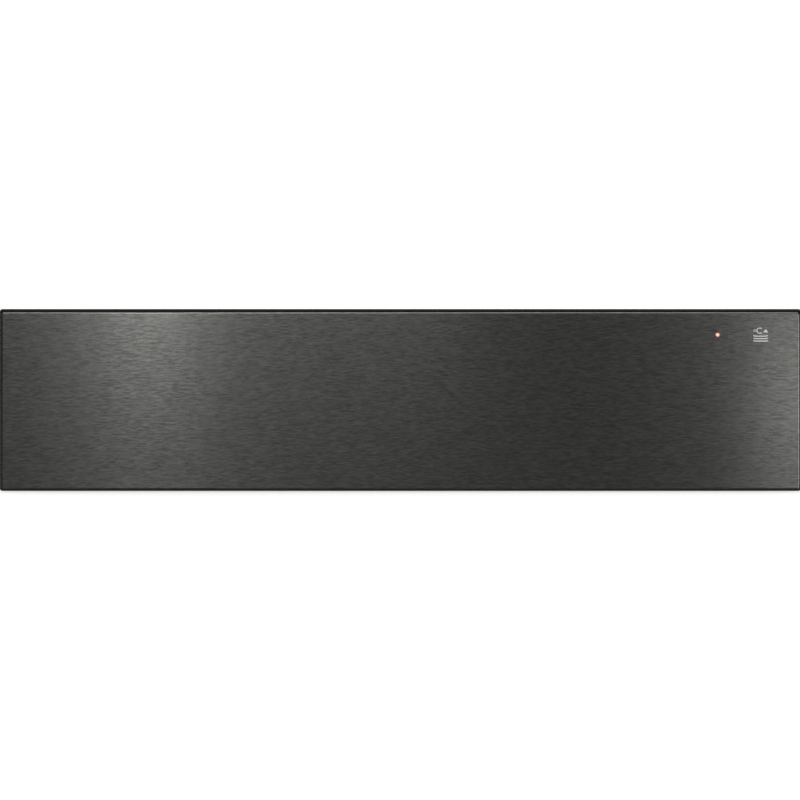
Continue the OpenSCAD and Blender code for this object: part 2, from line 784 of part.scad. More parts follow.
module side_panel() color("#b0b4b6") {
  y = [y_frame + frame_t, y_rear];
  x = [x_side, x_side + sheet_t];
  difference() {
    union() {
      block(x, y, [z_base, z_cover]);
      block([x[0] - flange_w, x[1]], [y[0] + 14, y[1]], [z_cover - sheet_t, z_cover]);
      block([x[0] - flange_w, x[1]], [y[1] - sheet_t, y[1]], [z_base + 12, z_cover - 12]);
      block([x[0], x_ear], [y[0], y[0] + sheet_t], [z_open[0], z_open[1]]);
    }
    // cooling slots near the back, in two rows
    for (row = [0 : 1], i = [0 : 9])
      along_x([x[0] - 1, x[1] + 1])
        translate([y_chamber[0] - 60 + i * 12, z_mid - 22 + row * 44]) rotate(90) slot_2d(30, 4);
    for (z = z_fixing) rod_y(fixing_x / 2, [y[0] - 1, y[0] + 2], z, fixing_d / 2);
    for (sy = side_screw_y)
      rod_x([x[0] - 1, x[1] + 1], sy, z_cover_screw, screw_hole);
    for (z = rear_screw_z)
      rod_y(x_side - flange_w / 2, [y[1] - 2, y[1] + 1], z, screw_hole);
  }
}

module side_panel_right() side_panel();
module side_panel_left() mirrored() side_panel();

z_cover_screw = z_roof - 7;
side_screw_y = [y_frame + 60, 0, y_back - 60];
x_rear_screw = x_side - 46.4;
rear_screw_x = [-x_rear_screw, -80, 80, x_rear_screw];
rear_screw_z = [z_mid - 30, z_mid + 30];

module rear_panel() color("#b0b4b6") {
  y = [y_rear, y_rear + sheet_t];
  difference() {
    union() {
      block([-x_side - sheet_t, x_side + sheet_t], y, [z_base, z_cover]);
      block([x_pocket[0] - sheet_t, x_pocket[1] + sheet_t], [y_pocket - sheet_t, y[1]],
        [z_pocket[0] - sheet_t, z_pocket[1] + sheet_t]);
    }
    block(x_pocket, [y_pocket, y[1] + 1], z_pocket);
    rod_y(x_gland, [y_pocket - 2, y_pocket + 1], z_gland, gland_r + 0.1);
    // louvre slots behind the motor
    for (row = [0 : 2], i = [-7 : 7])
      translate([i * 12, 0, z_mid - 28 + row * 28])
        along_y([y[0] - 1, y[1] + 1]) rotate(90) slot_2d(20, 4);
    for (x = rear_screw_x) rod_y(x, [y[0] - 1, y[1] + 1], z_cover_screw, screw_hole);
    for (s = [-1, 1], z = rear_screw_z)
      rod_y(s * (x_side - flange_w / 2), [y[0] - 1, y[1] + 1], z, screw_hole);
  }
}

cover_skirt = 13;

module top_cover() color("#b0b4b6") {
  x = body_w / 2;
  bead_y = [y_frame + 115, y_bulkhead - 22];
  bead_x = x_tub - 36.9;
  across_y = y_frame + 70;
  difference() {
    union() {
      block([-x, x], [y_frame, y_back], [z_cover, z_roof]);
      both_sides()
        block([x - sheet_t, x], [y_frame + frame_t + 2, y_back], [z_roof - cover_skirt, z_roof]);
      block([-x, x], [y_back - sheet_t, y_back], [z_roof - cover_skirt, z_roof]);
      for (px = [-bead_x, 0, bead_x])
        bead(px, (bead_y[0] + bead_y[1]) / 2, bead_y[1] - bead_y[0], "y", z_roof, "skin");
      bead(0, across_y, 2 * x_tub - 14, "x", z_roof, "skin");
    }
    for (px = [-bead_x, 0, bead_x])
      bead(px, (bead_y[0] + bead_y[1]) / 2, bead_y[1] - bead_y[0], "y", z_roof, "cut");
    bead(0, across_y, 2 * x_tub - 14, "x", z_roof, "cut");
    for (y = side_screw_y) rod_x([-x - 1, x + 1], y, z_cover_screw, screw_hole);
    for (px = rear_screw_x) rod_y(px, [y_back - 2, y_back + 1], z_cover_screw, screw_hole);
  }
}

// A ring on the housing's front edges, with an ear on either side of it
module front_frame() color("#222323")
  difference() {
    union() {
      along_y([y_frame, y_frame + frame_t]) {
        round_rect([-frame_w / 2, frame_w / 2], [z_pan, z_cover], 2);
        translate([-body_w / 2, z_pan]) square([body_w, z_cover - z_pan]);
      }
      // the returns that the cover and the pan are fixed to
      block([-x_side + 1, x_side - 1], [y_frame, y_frame + flange_w], [z_pan, z_pan + frame_t]);
      block([-x_side + 1, x_side - 1], [y_frame, y_frame + flange_w],
        [z_cover - frame_t, z_cover]);
    }
    along_y([y_frame - 1, y_frame + frame_t + 1])
      round_rect([-x_side, x_side], z_open, 1.5);
    for (s = [-1, 1], z = z_fixing)
      rod_y(s * fixing_x / 2, [y_frame - 1, y_frame + frame_t + 1], z, fixing_d / 2);
  }

// The bracket that a rail hangs on, and that closes the cavity off from its column
module rail_bracket() color("#a7abad") {
  y = [y_frame + frame_t + 0.2, y_bulkhead + sheet_t];
  y_flange = [y_frame + flange_w + 1, y_bulkhead + sheet_t];
  difference() {
    union() {
      block([x_rail, x_column], y, [z_pan + frame_t + slip, z_cover - frame_t - slip]);
      block([x_rail, x_column], y_flange, [z_pan, z_cover]);
      for (z = [[z_pan, z_pan + bracket_t], [z_cover - bracket_t, z_cover]])
        block([x_rail, x_column + flange_w], y_flange, z);
    }
    for (ry = rivet_y) rod_x([x_rail - 1, x_column + 1], ry, rail_z, 2 + run_play);
  }
}

module rail_bracket_right() rail_bracket();
module rail_bracket_left() mirrored() rail_bracket();

// The block that fills a column's part of the frame's opening, with lips behind the frame
module column_block(y) {
  along_y(y) round_rect(x_bezel, z_bezel, 1.5);
  block([x_bezel[0] + 1, x_bezel[1] - 1], [y_frame + frame_t, y_frame + frame_t + 2],
    [z_open[0] - 3, z_open[1] + 3]);
}

module left_column_trim() color("#191919")
  mirrored()
    difference() {
      column_block([y_frame, y_frame + recess_d]);
      block([x_bezel[0] + bezel_wall, x_bezel[1] - bezel_wall],
        [y_frame + bezel_wall, y_frame + recess_d + 1],
        [z_bezel[0] + bezel_wall, z_bezel[1] - bezel_wall]);
    }

module chassis_screws() color("#9a9a98") {
  for (s = [-1, 1], y = side_screw_y)
    translate([s * body_w / 2, y, z_cover_screw]) facing(s > 0 ? "right" : "left") screw();
  for (x = rear_screw_x) translate([x, y_back, z_cover_screw]) facing("back") screw();
  for (s = [-1, 1], z = rear_screw_z)
    translate([s * (x_side - flange_w / 2), y_back - sheet_t, z]) facing("back") screw();
}

// ---- warm air unit -------------------------------------------------------------------

chamber_screw_x = x_chamber + flange_w / 2;
chamber_screw_z = [z_mid - 30, z_mid + 30];

module rear_bulkhead() color("#c2c3c1") {
  x = x_rail - slip;
  difference() {
    union() {
      block([-x, x], [y_bulkhead, y_bulkhead + sheet_t], [z_pan, z_cover]);
      block([-x, x], [y_bulkhead, y_bulkhead + flange_w], [z_pan, z_pan + sheet_t]);
      block([-x, x], [y_bulkhead, y_bulkhead + flange_w], [z_cover - sheet_t, z_cover]);
    }
    air_openings([y_bulkhead - 1, y_bulkhead + sheet_t + 1]);
    for (s = [-1, 1]) {
      rod_y(s * x_latch, [y_bulkhead - 1, y_bulkhead + sheet_t + 1], z_latch, magnet_r + 0.5);
      for (v = [-latch_screw_v, latch_screw_v])
        rod_y(s * x_latch, [y_bulkhead - 1, y_bulkhead + 2], z_latch + v,
          small_screw_d / 2 + hole_play);
    }
    for (s = [-1, 1], z = chamber_screw_z)
      rod_y(s * chamber_screw_x, [y_bulkhead - 1, y_bulkhead + 2], z, screw_hole);
  }
}

cutout_x = x_chamber - 72;
cutout_z = z_mid + 24;

module air_chamber() color("#b7b9b8") {
  x = x_chamber;
  difference() {
    union() {
      block([-x, x], y_chamber, z_chamber);
      block([-x - flange_w, x + flange_w], [y_chamber[0], y_chamber[0] + sheet_t],
        [z_chamber[0] + 10, z_chamber[1] - 10]);
    }
    block([-x + sheet_t, x - sheet_t], [y_chamber[0] - 1, y_chamber[1] - sheet_t],
      [z_chamber[0] + sheet_t, z_chamber[1] - sheet_t]);
    rod_y(0, [y_chamber[1] - 2, y_chamber[1] + 1], z_mid, spindle_d / 2 + 3);
    for (sx = [-1, 1], sz = [-1, 1])
      rod_y(sx * motor_post, [y_chamber[1] - 2, y_chamber[1] + 1], z_mid + sz * motor_post,
        screw_hole);
    for (s = [-1, 1])
      rod_y(s * x_leg, [y_chamber[1] - 2, y_chamber[1] + 1], z_leg, leg_r + 0.2);
    for (s = [-1, 1], z = chamber_screw_z)
      rod_y(s * chamber_screw_x, [y_chamber[0] - 1, y_chamber[0] + 2], z, screw_hole);
    rod_y(cutout_x, [y_chamber[1] - 2, y_chamber[1] + 1], cutout_z, 6);
    rod_x([x - 2, x + 2], y_ring, bulb_z, 3);
  }
}

// Where the heater's terminals pass the chamber's plate
x_leg = ring_r * sin(ring_gap);
z_leg = z_mid - ring_r * cos(ring_gap);
leg_r = ring_tube_d / 2 + 1;

// The tubular heater: an open ring whose two ends stand in terminal sleeves
module heating_ring() color("#7b7f80") {
  for (s = [-1, 1]) {
    rod_y(s * x_leg, [y_ring - leg_r, y_chamber[1] + 6], z_leg, leg_r);
    rod_y(s * x_leg, [y_chamber[1] + 6 - eps, y_chamber[1] + 12], z_leg, leg_r - 1.2);
    rod_y(s * x_leg, [y_chamber[1] + 12 - eps, y_chamber[1] + 18], z_leg, leg_r / 2);
  }
  translate([0, y_ring, z_mid]) rotate([90, 0, 0]) rotate([0, 0, ring_gap - 90])
    rotate_extrude(angle = 360 - 2 * ring_gap) translate([ring_r, 0]) circle(ring_tube_d / 2);
}

x_leg_in = stack_half + coil_room;            // the leg that carries the coil
x_leg_out = x_leg_in + leg_w;

module motor_stack() color("#6d6f70")
  difference() {
    union() {
      block([-stack_half, stack_half], [y_stack, y_stack + stack_t],
        [z_mid - stack_half, z_mid + stack_half]);
      for (z = [-stack_half, stack_half - leg_w])
        block([stack_half - 1, x_leg_out], [y_stack, y_stack + stack_t],
          [z_mid + z, z_mid + z + leg_w]);
      block([x_leg_in, x_leg_out], [y_stack, y_stack + stack_t],
        [z_mid - stack_half, z_mid + stack_half]);
    }
    rod_y(0, [y_stack - 1, y_stack + stack_t + 1], z_mid, rotor_bore);
    for (sx = [-1, 1], sz = [-1, 1])
      rod_y(sx * motor_post, [y_stack - 1, y_stack + stack_t + 1], z_mid + sz * motor_post,
        screw_hole);
  }

// The winding on its flanged bobbin, round the stack's outer leg
x_coil = x_leg_out + coil_t;

module motor_coil() color("#b4683a") {
  flange = 2.5;
  rim = 2;
  y = [y_stack - coil_t - 1, y_stack + stack_t + coil_t + 1];
  difference() {
    union() {
      block([x_leg_in - coil_t, x_coil], y, [z_mid - coil_l / 2, z_mid + coil_l / 2]);
      for (z = [-coil_l / 2 - flange, coil_l / 2])
        block([x_leg_in - coil_t - rim, x_coil + rim], [y[0] - rim, y[1] + rim],
          [z_mid + z, z_mid + z + flange]);
    }
    block([x_leg_in - slip, x_leg_out + slip], [y_stack - slip, y_stack + stack_t + slip],
      [z_mid - coil_l, z_mid + coil_l]);
  }
}

// Front and rear brackets with their bearing bushes
bearing_gap = 4;                              // between the stack and a bracket
bracket_plate = 2;

module motor_brackets() color("#c8cacb") {
  half_w = 8;
  for (y = [y_stack - bearing_gap - bracket_plate, y_stack + stack_t + bearing_gap])
    difference() {
      union() {
        block([-stack_half, stack_half], [y, y + bracket_plate], [z_mid - half_w, z_mid + half_w]);
        both_sides()
          block([motor_post - 5, stack_half], [y, y + bracket_plate],
            [z_mid - stack_half, z_mid + stack_half]);
        rod_y(0, [y - 2, y + 4], z_mid, spindle_d / 2 + 4);
      }
      rod_y(0, [y - 3, y + 5], z_mid, spindle_d / 2 + run_play);
      for (sx = [-1, 1], sz = [-1, 1])
        rod_y(sx * motor_post, [y - 1, y + 3], z_mid + sz * motor_post, screw_hole);
    }
}

// Spacers and screws that hold the motor, and the chamber's and latches' own screws
module bulkhead_fixings() color("#9a9a98") {
  y_seat = y_stack + stack_t + bearing_gap + bracket_plate;
  y_front = y_stack - bearing_gap - bracket_plate;
  for (sx = [-1, 1], sz = [-1, 1])
    translate([sx * motor_post, 0, z_mid + sz * motor_post]) {
      translate([0, y_seat, 0]) facing("back") screw(l = y_seat - y_chamber[1] + 3);
      for (y = [[y_chamber[1], y_front], [y_front + bracket_plate, y_stack],
        [y_stack + stack_t, y_seat - bracket_plate]])
        difference() {
          rod_y(0, y, 0, screw_d);
          rod_y(0, [y[0] - 1, y[1] + 1], 0, screw_hole);
        }
    }
  for (s = [-1, 1], z = chamber_screw_z)
    translate([s * chamber_screw_x, y_chamber[0] + sheet_t, z]) facing("back") screw(l = 6);
  for (s = [-1, 1], v = [-latch_screw_v, latch_screw_v])
    translate([s * x_latch, y_latch[0] + latch_ear_t, z_latch + v])
      facing("back") screw(l = 7, d = small_screw_d, head = small_head_d);
}

module safety_cutout() color("#ddd6c4") {
  y = y_chamber[1];
  rod_y(cutout_x, [y, y + 8], cutout_z, 8);
  block([cutout_x - 13, cutout_x + 13], [y, y + 0.8], [cutout_z - 5, cutout_z + 5]);
  for (s = [-1, 1])
    block([cutout_x + s * 5 - 0.4, cutout_x + s * 5 + 0.4], [y + 7, y + 15],
      [cutout_z - 3, cutout_z + 3]);
}

module fan_spindle() color("#c9cbcc") {
  rod_y(0, [y_wheel - 2, y_stack + stack_t + spindle_tail], z_mid, spindle_d / 2);
  difference() {
    rod_y(0, [y_stack, y_stack + stack_t], z_mid, rotor_r);
    rod_y(0, [y_stack - 1, y_stack + stack_t + 1], z_mid, spindle_d / 2);
  }
}

// A radial wheel: hub, back disc, blades and a front ring
module fan_wheel() color("#a3a6a7") {
  r = wheel_r;
  y_disc = y_wheel + fan_w;
  difference() {
    union() {
      rod_y(0, [y_wheel + 2, y_disc + 3], z_mid, 7);
      rod_y(0, [y_disc - 1, y_disc], z_mid, r);
      difference() {
        rod_y(0, [y_wheel, y_wheel + 1], z_mid, r);
        rod_y(0, [y_wheel - 1, y_wheel + 2], z_mid, r - 10);
      }
      translate([0, 0, z_mid])
        for (i = [0 : blade_count - 1])
          rotate([0, i * 360 / blade_count, 0])
            translate([r - 9, 0, 0]) rotate([0, 35, 0])
              block([-7, 7], [y_wheel + 0.5, y_disc - 0.5], [-0.4, 0.4]);
    }
    rod_y(0, [y_wheel - 1, y_disc + 4], z_mid, spindle_d / 2);
  }
}

// ---- controls ------------------------------------------------------------------------

neck_r = shaft_d / 2 + 2;                     // the thermostat's threaded neck

module control_bezel() color("#191919") {
  y_rear_face = y_floor + bezel_wall;
  pocket_x = [x_bezel[0] + bezel_wall, x_bezel[1] - bezel_wall];
  difference() {
    column_block([y_frame, y_rear_face]);
    block(pocket_x, [y_frame - 1, y_floor], [z_bezel[0] + bezel_wall, z_lamp_block]);
    // hollow behind the lamp's block
    block([x_bezel[0] + 1.2, pocket_x[1]], [y_frame + 4, y_rear_face + 1],
      [z_lamp_block + bezel_wall, z_bezel[1] - bezel_wall]);
    rod_y(x_guide, [y_frame - 1, y_frame + 5], z_guide, lamp_d / 2 + hole_play);
    rod_y(x_control, [y_floor - 1, y_rear_face + 1], knob_z, neck_r + run_play);
    block([x_control - rocker_hole[0], x_control + rocker_hole[0]],
      [y_floor - 1, y_rear_face + 1], [rocker_z - rocker_hole[1], rocker_z + rocker_hole[1]]);
  }
}

module indicator_lamp() color("#e8a08a") {
  rod_y(x_guide, [y_frame + 2, y_frame + 4 + eps], z_guide, lamp_d / 2);
  translate([x_guide, y_frame + 2, z_guide]) sphere(lamp_d / 2);
  rod_y(x_guide, [y_frame + 4, y_frame + 7.5], z_guide, lamp_d / 2 + 0.3);
  for (s = [-1, 1])
    rod_y(x_guide + s * 1.27, [y_frame + 7, y_frame + recess_d - 2], z_guide, 0.3);
}

module switch_body() color("#202020")
  difference() {
    union() {
      along_y([y_floor - 1.5, y_floor])
        round_rect([x_control - rocker_hole[0] - switch_rim, x_control + rocker_hole[0] + switch_rim],
          [rocker_z - rocker_hole[1] - switch_rim, rocker_z + rocker_hole[1] + switch_rim], 0.9);
      block([x_control - rocker_hole[0] + 0.1, x_control + rocker_hole[0] - 0.1],
        [y_floor - eps, y_floor + 20],
        [rocker_z - rocker_hole[1] + 0.1, rocker_z + rocker_hole[1] - 0.1]);
      for (z = [-5, 5])
        block([x_control - 2.4, x_control + 2.4], [y_floor + 19, y_floor + 28],
          [rocker_z + z - 0.4, rocker_z + z + 0.4]);
    }
    block([x_control - rocker_w / 2 - 0.2, x_control + rocker_w / 2 + 0.2],
      [y_floor - 3, y_floor + 8],
      [rocker_z - rocker_h / 2 - 0.5, rocker_z + rocker_h / 2 + 0.5]);
    rod_x([x_control - rocker_hole[0] + 0.1 - eps, x_control + rocker_hole[0]], rocker_axis_y,
      rocker_z, 1 + run_play);
  }

// The paddle is drawn switched on: its upper half is pressed in
module rocker_paddle() color("#2a2a2a")
  translate([x_control, rocker_axis_y, rocker_z]) rotate([-rocker_tilt, 0, 0]) {
    h = rocker_h / 2;
    along_x([-rocker_w / 2, rocker_w / 2])
      polygon([[-3.4, 0], [-4.2, h - 0.6], [-2.2, h - 0.2], [1.5, h - 0.8], [3.5, 3],
        [3.5, -3], [1.5, -h + 0.8], [-2.2, -h + 0.2], [-4.2, -h + 0.6]]);
    rod_x([-rocker_w / 2 - 1.1, rocker_w / 2 + 1.1], 0, 0, 1);
  }

y_thermostat = [y_floor + bezel_wall + 0.2, y_floor + bezel_wall + 0.2 + thermostat_d];
thermostat_half = thermostat_w / 2;

module thermostat_body() color("#d9dadb")
  difference() {
    union() {
      block([x_control - thermostat_half, x_control + thermostat_half], y_thermostat,
        [knob_z - thermostat_half, knob_z + thermostat_half]);
      rod_y(x_control, [y_floor - 2.5, y_thermostat[0] + 1], knob_z, neck_r);
      translate([x_control, y_floor, knob_z]) rotate([90, 0, 0])
        cylinder(h = 2, r = neck_r + 2, $fn = 6);
      for (z = [-8, 8])
        block([x_control - 14, x_control - 8], [y_thermostat[1] - 1, y_thermostat[1] + 7],
          [knob_z + z - 0.4, knob_z + z + 0.4]);
    }
    rod_y(x_control, [y_floor - 4, y_floor + 12], knob_z, shaft_d / 2 + run_play);
  }

module thermostat_shaft() color("#c9cbcc")
  rod_y(x_control, [y_floor - knob_h, y_floor + 11], knob_z, shaft_d / 2);

// The knob's top is 1 mm behind the frame, so the front shuts over it
module temperature_knob() color("#232323") {
  r = knob_d / 2;
  y_skirt = y_floor - 3;
  translate([x_control, 0, knob_z])
    difference() {
      union() {
        rod_y(0, [y_skirt - 3, y_skirt], 0, r);
        rod_y(0, [y_skirt - knob_h, y_skirt - 3 + eps], 0, r - 3);
        block([-0.8, 0.8], [y_skirt - knob_h - 0.6, y_skirt - 3], [0, r - 3.2]);
      }
      rod_y(0, [y_floor - knob_h - eps, y_skirt + 1], 0, shaft_d / 2 + run_play);
      for (i = [0 : 17])
        rotate([0, i * 20, 0]) rod_y(r - 2.4, [y_skirt - knob_h - 1, y_skirt - 3.5], 0, 1.2);
    }
}

// ---- wiring --------------------------------------------------------------------------

bulb_z = z_mid + 34;
bulb_x = [x_chamber - 62, x_chamber - 8];
col_x = x_side - 12;                          // where wires run along the right column
wire_floor = z_pan + 7;

capillary_route = [
  [x_control + 12, y_thermostat[1] + 0.1, knob_z - 10], [x_control + 12, y_floor + 40, knob_z - 12],
  [col_x + 4, y_floor + 80, wire_floor + 8], [col_x + 4, 0, wire_floor + 8],
  [col_x + 4, y_bulkhead - 40, wire_floor + 8], [col_x, y_bulkhead - 4, wire_floor + 30],
  [col_x - 16, y_ring, z_mid + 20], [col_x - 50, y_ring, bulb_z],
  [x_chamber + 10, y_ring, bulb_z], [bulb_x[1] - 2, y_ring, bulb_z]
];

module thermostat_capillary() color("#b98a55") {
  wire(smooth(capillary_route, 4), 2.2, 8);
  rod_x(bulb_x, y_ring, bulb_z, 2.8);
}

x_block = [x_gland - 20, x_gland + 20];
y_block = [y_pocket - 34, y_pocket - 10];

module terminal_block() color("#e6e4dc")
  difference() {
    union() {
      block(x_block, y_block, [z_pan, z_pan + 10]);
      block(x_block, [y_block[0] + 4, y_block[1] - 4], [z_pan + 9, z_pan + 19]);
    }
    for (i = [-1 : 1]) {
      rod_z(x_gland + i * 12, (y_block[0] + y_block[1]) / 2, [z_pan + 8, z_pan + 20], 3);
      rod_y(x_gland + i * 12, [y_block[0] - 1, y_block[1] + 1], z_pan + 6, 2.6);
    }
  }

// The gland: collar outside the pocket's floor, nut inside, one bore through both
module cable_gland() color("#1c1c1c")
  difference() {
    union() {
      rod_y(x_gland, [y_pocket - 10, y_pocket + 14], z_gland, gland_r);
      rod_y(x_gland, [y_pocket, y_pocket + 5], z_gland, gland_r + 4);
      translate([x_gland, y_pocket - sheet_t, z_gland]) rotate([90, 0, 0])
        cylinder(h = 5, r = gland_r + 5, $fn = 6);
    }
    rod_y(x_gland, [y_pocket - 11, y_pocket + 15], z_gland, gland_bore_d / 2);
  }

z_wire = z_pan + 6;                           // the terminal block's wire holes
y_wire = [y_block[0] + 5, y_block[0] - 4];    // a wire in its hole, and straight in front of it
y_switch_tab = y_floor + 28;
y_motor = y_stack + stack_t / 2;
wire_end = 0.1;                               // between a wire's end and its terminal
loom_main = [
  [x_gland + 12, y_wire[0], z_wire], [x_gland + 12, y_wire[1], z_wire],
  [x_gland + 12, y_wire[1] - 8, z_wire],
  [col_x - 4, y_bulkhead - 30, wire_floor], [col_x - 4, 0, wire_floor],
  [col_x - 4, y_floor + 90, wire_floor], [x_control + 2, y_floor + 48, rocker_z - 16],
  [x_control, y_floor + 39, rocker_z - 5], [x_control, y_switch_tab + wire_end, rocker_z - 5]
];
loom_heater = [
  [x_gland - 12, y_wire[0], z_wire], [x_gland - 12, y_wire[1], z_wire],
  [x_gland - 14, y_wire[1] - 5, z_wire], [x_gland - 26, y_wire[1] - 9, z_wire + 2],
  [x_gland - 50, y_chamber[1] + 8, z_wire + 4], [80, y_chamber[1] + 26, z_wire + 4],
  [x_leg + 8, y_chamber[1] + 32, z_leg], [x_leg, y_chamber[1] + 26, z_leg],
  [x_leg, y_chamber[1] + 18 + wire_end, z_leg]
];
loom_motor = [
  [x_gland, y_wire[0], z_wire], [x_gland, y_wire[1], z_wire],
  [x_gland - 2, y_wire[1] - 5, z_wire + 5], [x_gland - 28, y_block[0] - 2, z_wire + 22],
  [x_latch, y_block[0] + 20, z_wire + 26], [120, y_stack + stack_t + 10, z_mid - 20],
  [x_coil + 18, y_motor + 8, z_mid - 7], [x_coil + 7, y_motor, z_mid - 4],
  [x_coil + wire_end, y_motor, z_mid - 4]
];
loom_lamp = [
  [x_guide, y_frame + recess_d - 2 + wire_end, z_guide], [x_guide + 1, y_floor + 10, z_guide - 1],
  [x_guide + 6, y_floor + 30, z_guide - 14], [x_control - 1, y_floor + 38, rocker_z + 8],
  [x_control, y_switch_tab + wire_end, rocker_z + 5]
];
loom_thermostat = [
  [x_control - 11, y_thermostat[1] + 7 + wire_end, knob_z + 8],
  [x_control - 11, y_thermostat[1] + 16, knob_z + 9],
  [x_control - 8, y_floor + 46, rocker_z - 16], [x_control - 2, y_floor + 38, rocker_z - 6],
  [x_control - 1, y_switch_tab + wire_end, rocker_z - 5]
];

module wiring_loom() color("#7d2f2a") {
  wire(smooth(loom_main, 3), 4.6, 8);
  wire(smooth(loom_heater, 3), 3, 8);
  wire(smooth(loom_motor, 3), 3, 8);
  wire(smooth(loom_lamp, 3), 2, 6);
  wire(smooth(loom_thermostat, 3), 2.4, 6);
}

// ---- push latches --------------------------------------------------------------------

module latch_bodies() color("#d6d6d2") {
  half = latch_w / 2;
  both_sides()
    difference() {
      union() {
        block([x_latch - half, x_latch + half], y_latch, [z_latch - half, z_latch + half]);
        block([x_latch - half, x_latch + half], [y_latch[0], y_latch[0] + latch_ear_t],
          [z_latch - latch_screw_v - 4, z_latch + latch_screw_v + 4]);
      }
      rod_y(x_latch, [y_latch[0] - 1, y_latch_bore_end], z_latch, latch_bore);
      for (v = [-latch_screw_v, latch_screw_v])
        rod_y(x_latch, [y_latch[0] - 1, y_latch[0] + latch_ear_t + 1], z_latch + v,
          small_screw_d / 2 + hole_play);
    }
}

module latch_plungers() color("#3a3a3a")
  both_sides() {
    rod_y(x_latch, [y_tip, y_tip + magnet_t + eps], z_latch, magnet_r);
    rod_y(x_latch, [y_tip + magnet_t, y_plunger_end], z_latch, plunger_r);
  }

// Compression springs between the plungers and the ends of the latches' bores
module latch_springs() color("#8b8d8e") {
  turns = 5;
  steps = 10;
  gauge = 0.8;
  pitch_r = plunger_r - 0.8;
  l = y_latch_bore_end - y_plunger_end - gauge - 0.6;
  both_sides()
    translate([x_latch, y_plunger_end + gauge / 2 + 0.3, z_latch])
      wire([for (i = [0 : turns * steps])
        [pitch_r * cos(360 * i / steps), l * i / (turns * steps), pitch_r * sin(360 * i / steps)]],
        gauge, 6, [1, 0, 0]);
}

// ---- what is drawn -------------------------------------------------------------------

fascia();
front_carrier();
front_insulation();
front_liner();
front_seal();
light_guide();
tub_pan();
tub_side_left();
tub_side_right();
tub_back_wall();
antislip_mat();
strike_plates();
inner_rail_left();
inner_rail_right();
tub_screws();
front_screws();
mid_rail_left();
mid_rail_right();
outer_cage_left();
outer_cage_right();
inner_cage_left();
inner_cage_right();
base_pan();
side_panel_left();
side_panel_right();
rear_panel();
top_cover();
front_frame();
feet();
rail_bracket_left();
rail_bracket_right();
outer_rail_left();
outer_rail_right();
rail_rivets();
left_column_trim();
rear_bulkhead();
air_chamber();
heating_ring();
motor_stack();
motor_coil();
motor_brackets();
bulkhead_fixings();
safety_cutout();
control_bezel();
switch_body();
thermostat_body();
thermostat_capillary();
indicator_lamp();
terminal_block();
cable_gland();
wiring_loom();
latch_bodies();
chassis_screws();
latch_plungers();
latch_springs();
temperature_knob();
thermostat_shaft();
rocker_paddle();
fan_wheel();
fan_spindle();
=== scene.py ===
# Handleless 60 cm warming drawer with a brushed black steel front, for a kitchen niche.
# Metres. The front faces -Y, +X is to the right seen from the front, +Z is up.
import json
import math

import bpy
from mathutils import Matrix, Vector


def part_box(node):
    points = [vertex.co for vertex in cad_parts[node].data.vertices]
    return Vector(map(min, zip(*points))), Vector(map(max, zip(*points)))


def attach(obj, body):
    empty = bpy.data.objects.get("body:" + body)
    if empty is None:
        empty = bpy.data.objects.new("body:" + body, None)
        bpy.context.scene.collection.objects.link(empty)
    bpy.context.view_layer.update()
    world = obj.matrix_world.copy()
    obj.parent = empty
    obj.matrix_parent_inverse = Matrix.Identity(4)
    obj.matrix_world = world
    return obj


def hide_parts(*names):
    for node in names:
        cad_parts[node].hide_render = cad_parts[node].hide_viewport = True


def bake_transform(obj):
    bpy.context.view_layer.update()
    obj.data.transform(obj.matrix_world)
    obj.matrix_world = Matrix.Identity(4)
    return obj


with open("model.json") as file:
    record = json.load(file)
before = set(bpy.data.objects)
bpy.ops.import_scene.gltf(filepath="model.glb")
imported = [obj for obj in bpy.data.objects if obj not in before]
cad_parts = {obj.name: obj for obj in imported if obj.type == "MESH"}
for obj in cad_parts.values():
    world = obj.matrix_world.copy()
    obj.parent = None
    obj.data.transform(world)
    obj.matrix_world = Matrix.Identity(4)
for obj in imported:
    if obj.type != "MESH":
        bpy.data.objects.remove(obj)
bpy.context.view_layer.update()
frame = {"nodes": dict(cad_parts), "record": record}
MM = 0.001

# ---- camera ------------------------------------------------------------------------------
# A long lens straight in front of the steel face, at the height of its middle.
face_low, face_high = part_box("fascia")
FACE_Y = face_low[1]
LENS_DISTANCE = 2.2322
EYE_X = -0.30 * MM
EYE_Z = 68.75 * MM

bpy.ops.object.select_all(action="DESELECT")
bpy.ops.object.camera_add(location=(EYE_X, FACE_Y - LENS_DISTANCE, EYE_Z),
                          rotation=(math.radians(90), 0, 0))
camera = bpy.context.object
camera.data.lens = 135
camera.data.sensor_width = 36
camera.data.clip_end = 50
bpy.context.scene.camera = camera
bpy.context.scene.view_settings.view_transform = "Standard"

# ---- studio ------------------------------------------------------------------------------
# A white sweep of backdrop paper that rolls from the floor up behind the drawer. A tall narrow
# softbox and three wide ones stand in front, a low one lies on the right and one hangs above.
PAPER_WIDTH = 12.0
PAPER_FRONT = -6.0
PAPER_BACK = 3.0
PAPER_HEIGHT = 5.0
PAPER_CURVE = 1.2              # radius of its bend
FLOOR_GLOW = 0.64
WALL_GLOW = 0.82
WALL_FROM = 0.4                # height above which the glow is the wall's
ROOM_LIGHT = 0.35


def linear(hex_colour):
    """An sRGB hex colour as linear red, green, blue and alpha."""
    parts = [int(hex_colour[i:i + 2], 16) / 255 for i in (1, 3, 5)]
    return [c / 12.92 if c <= 0.04045 else ((c + 0.055) / 1.055) ** 2.4 for c in parts] + [1]


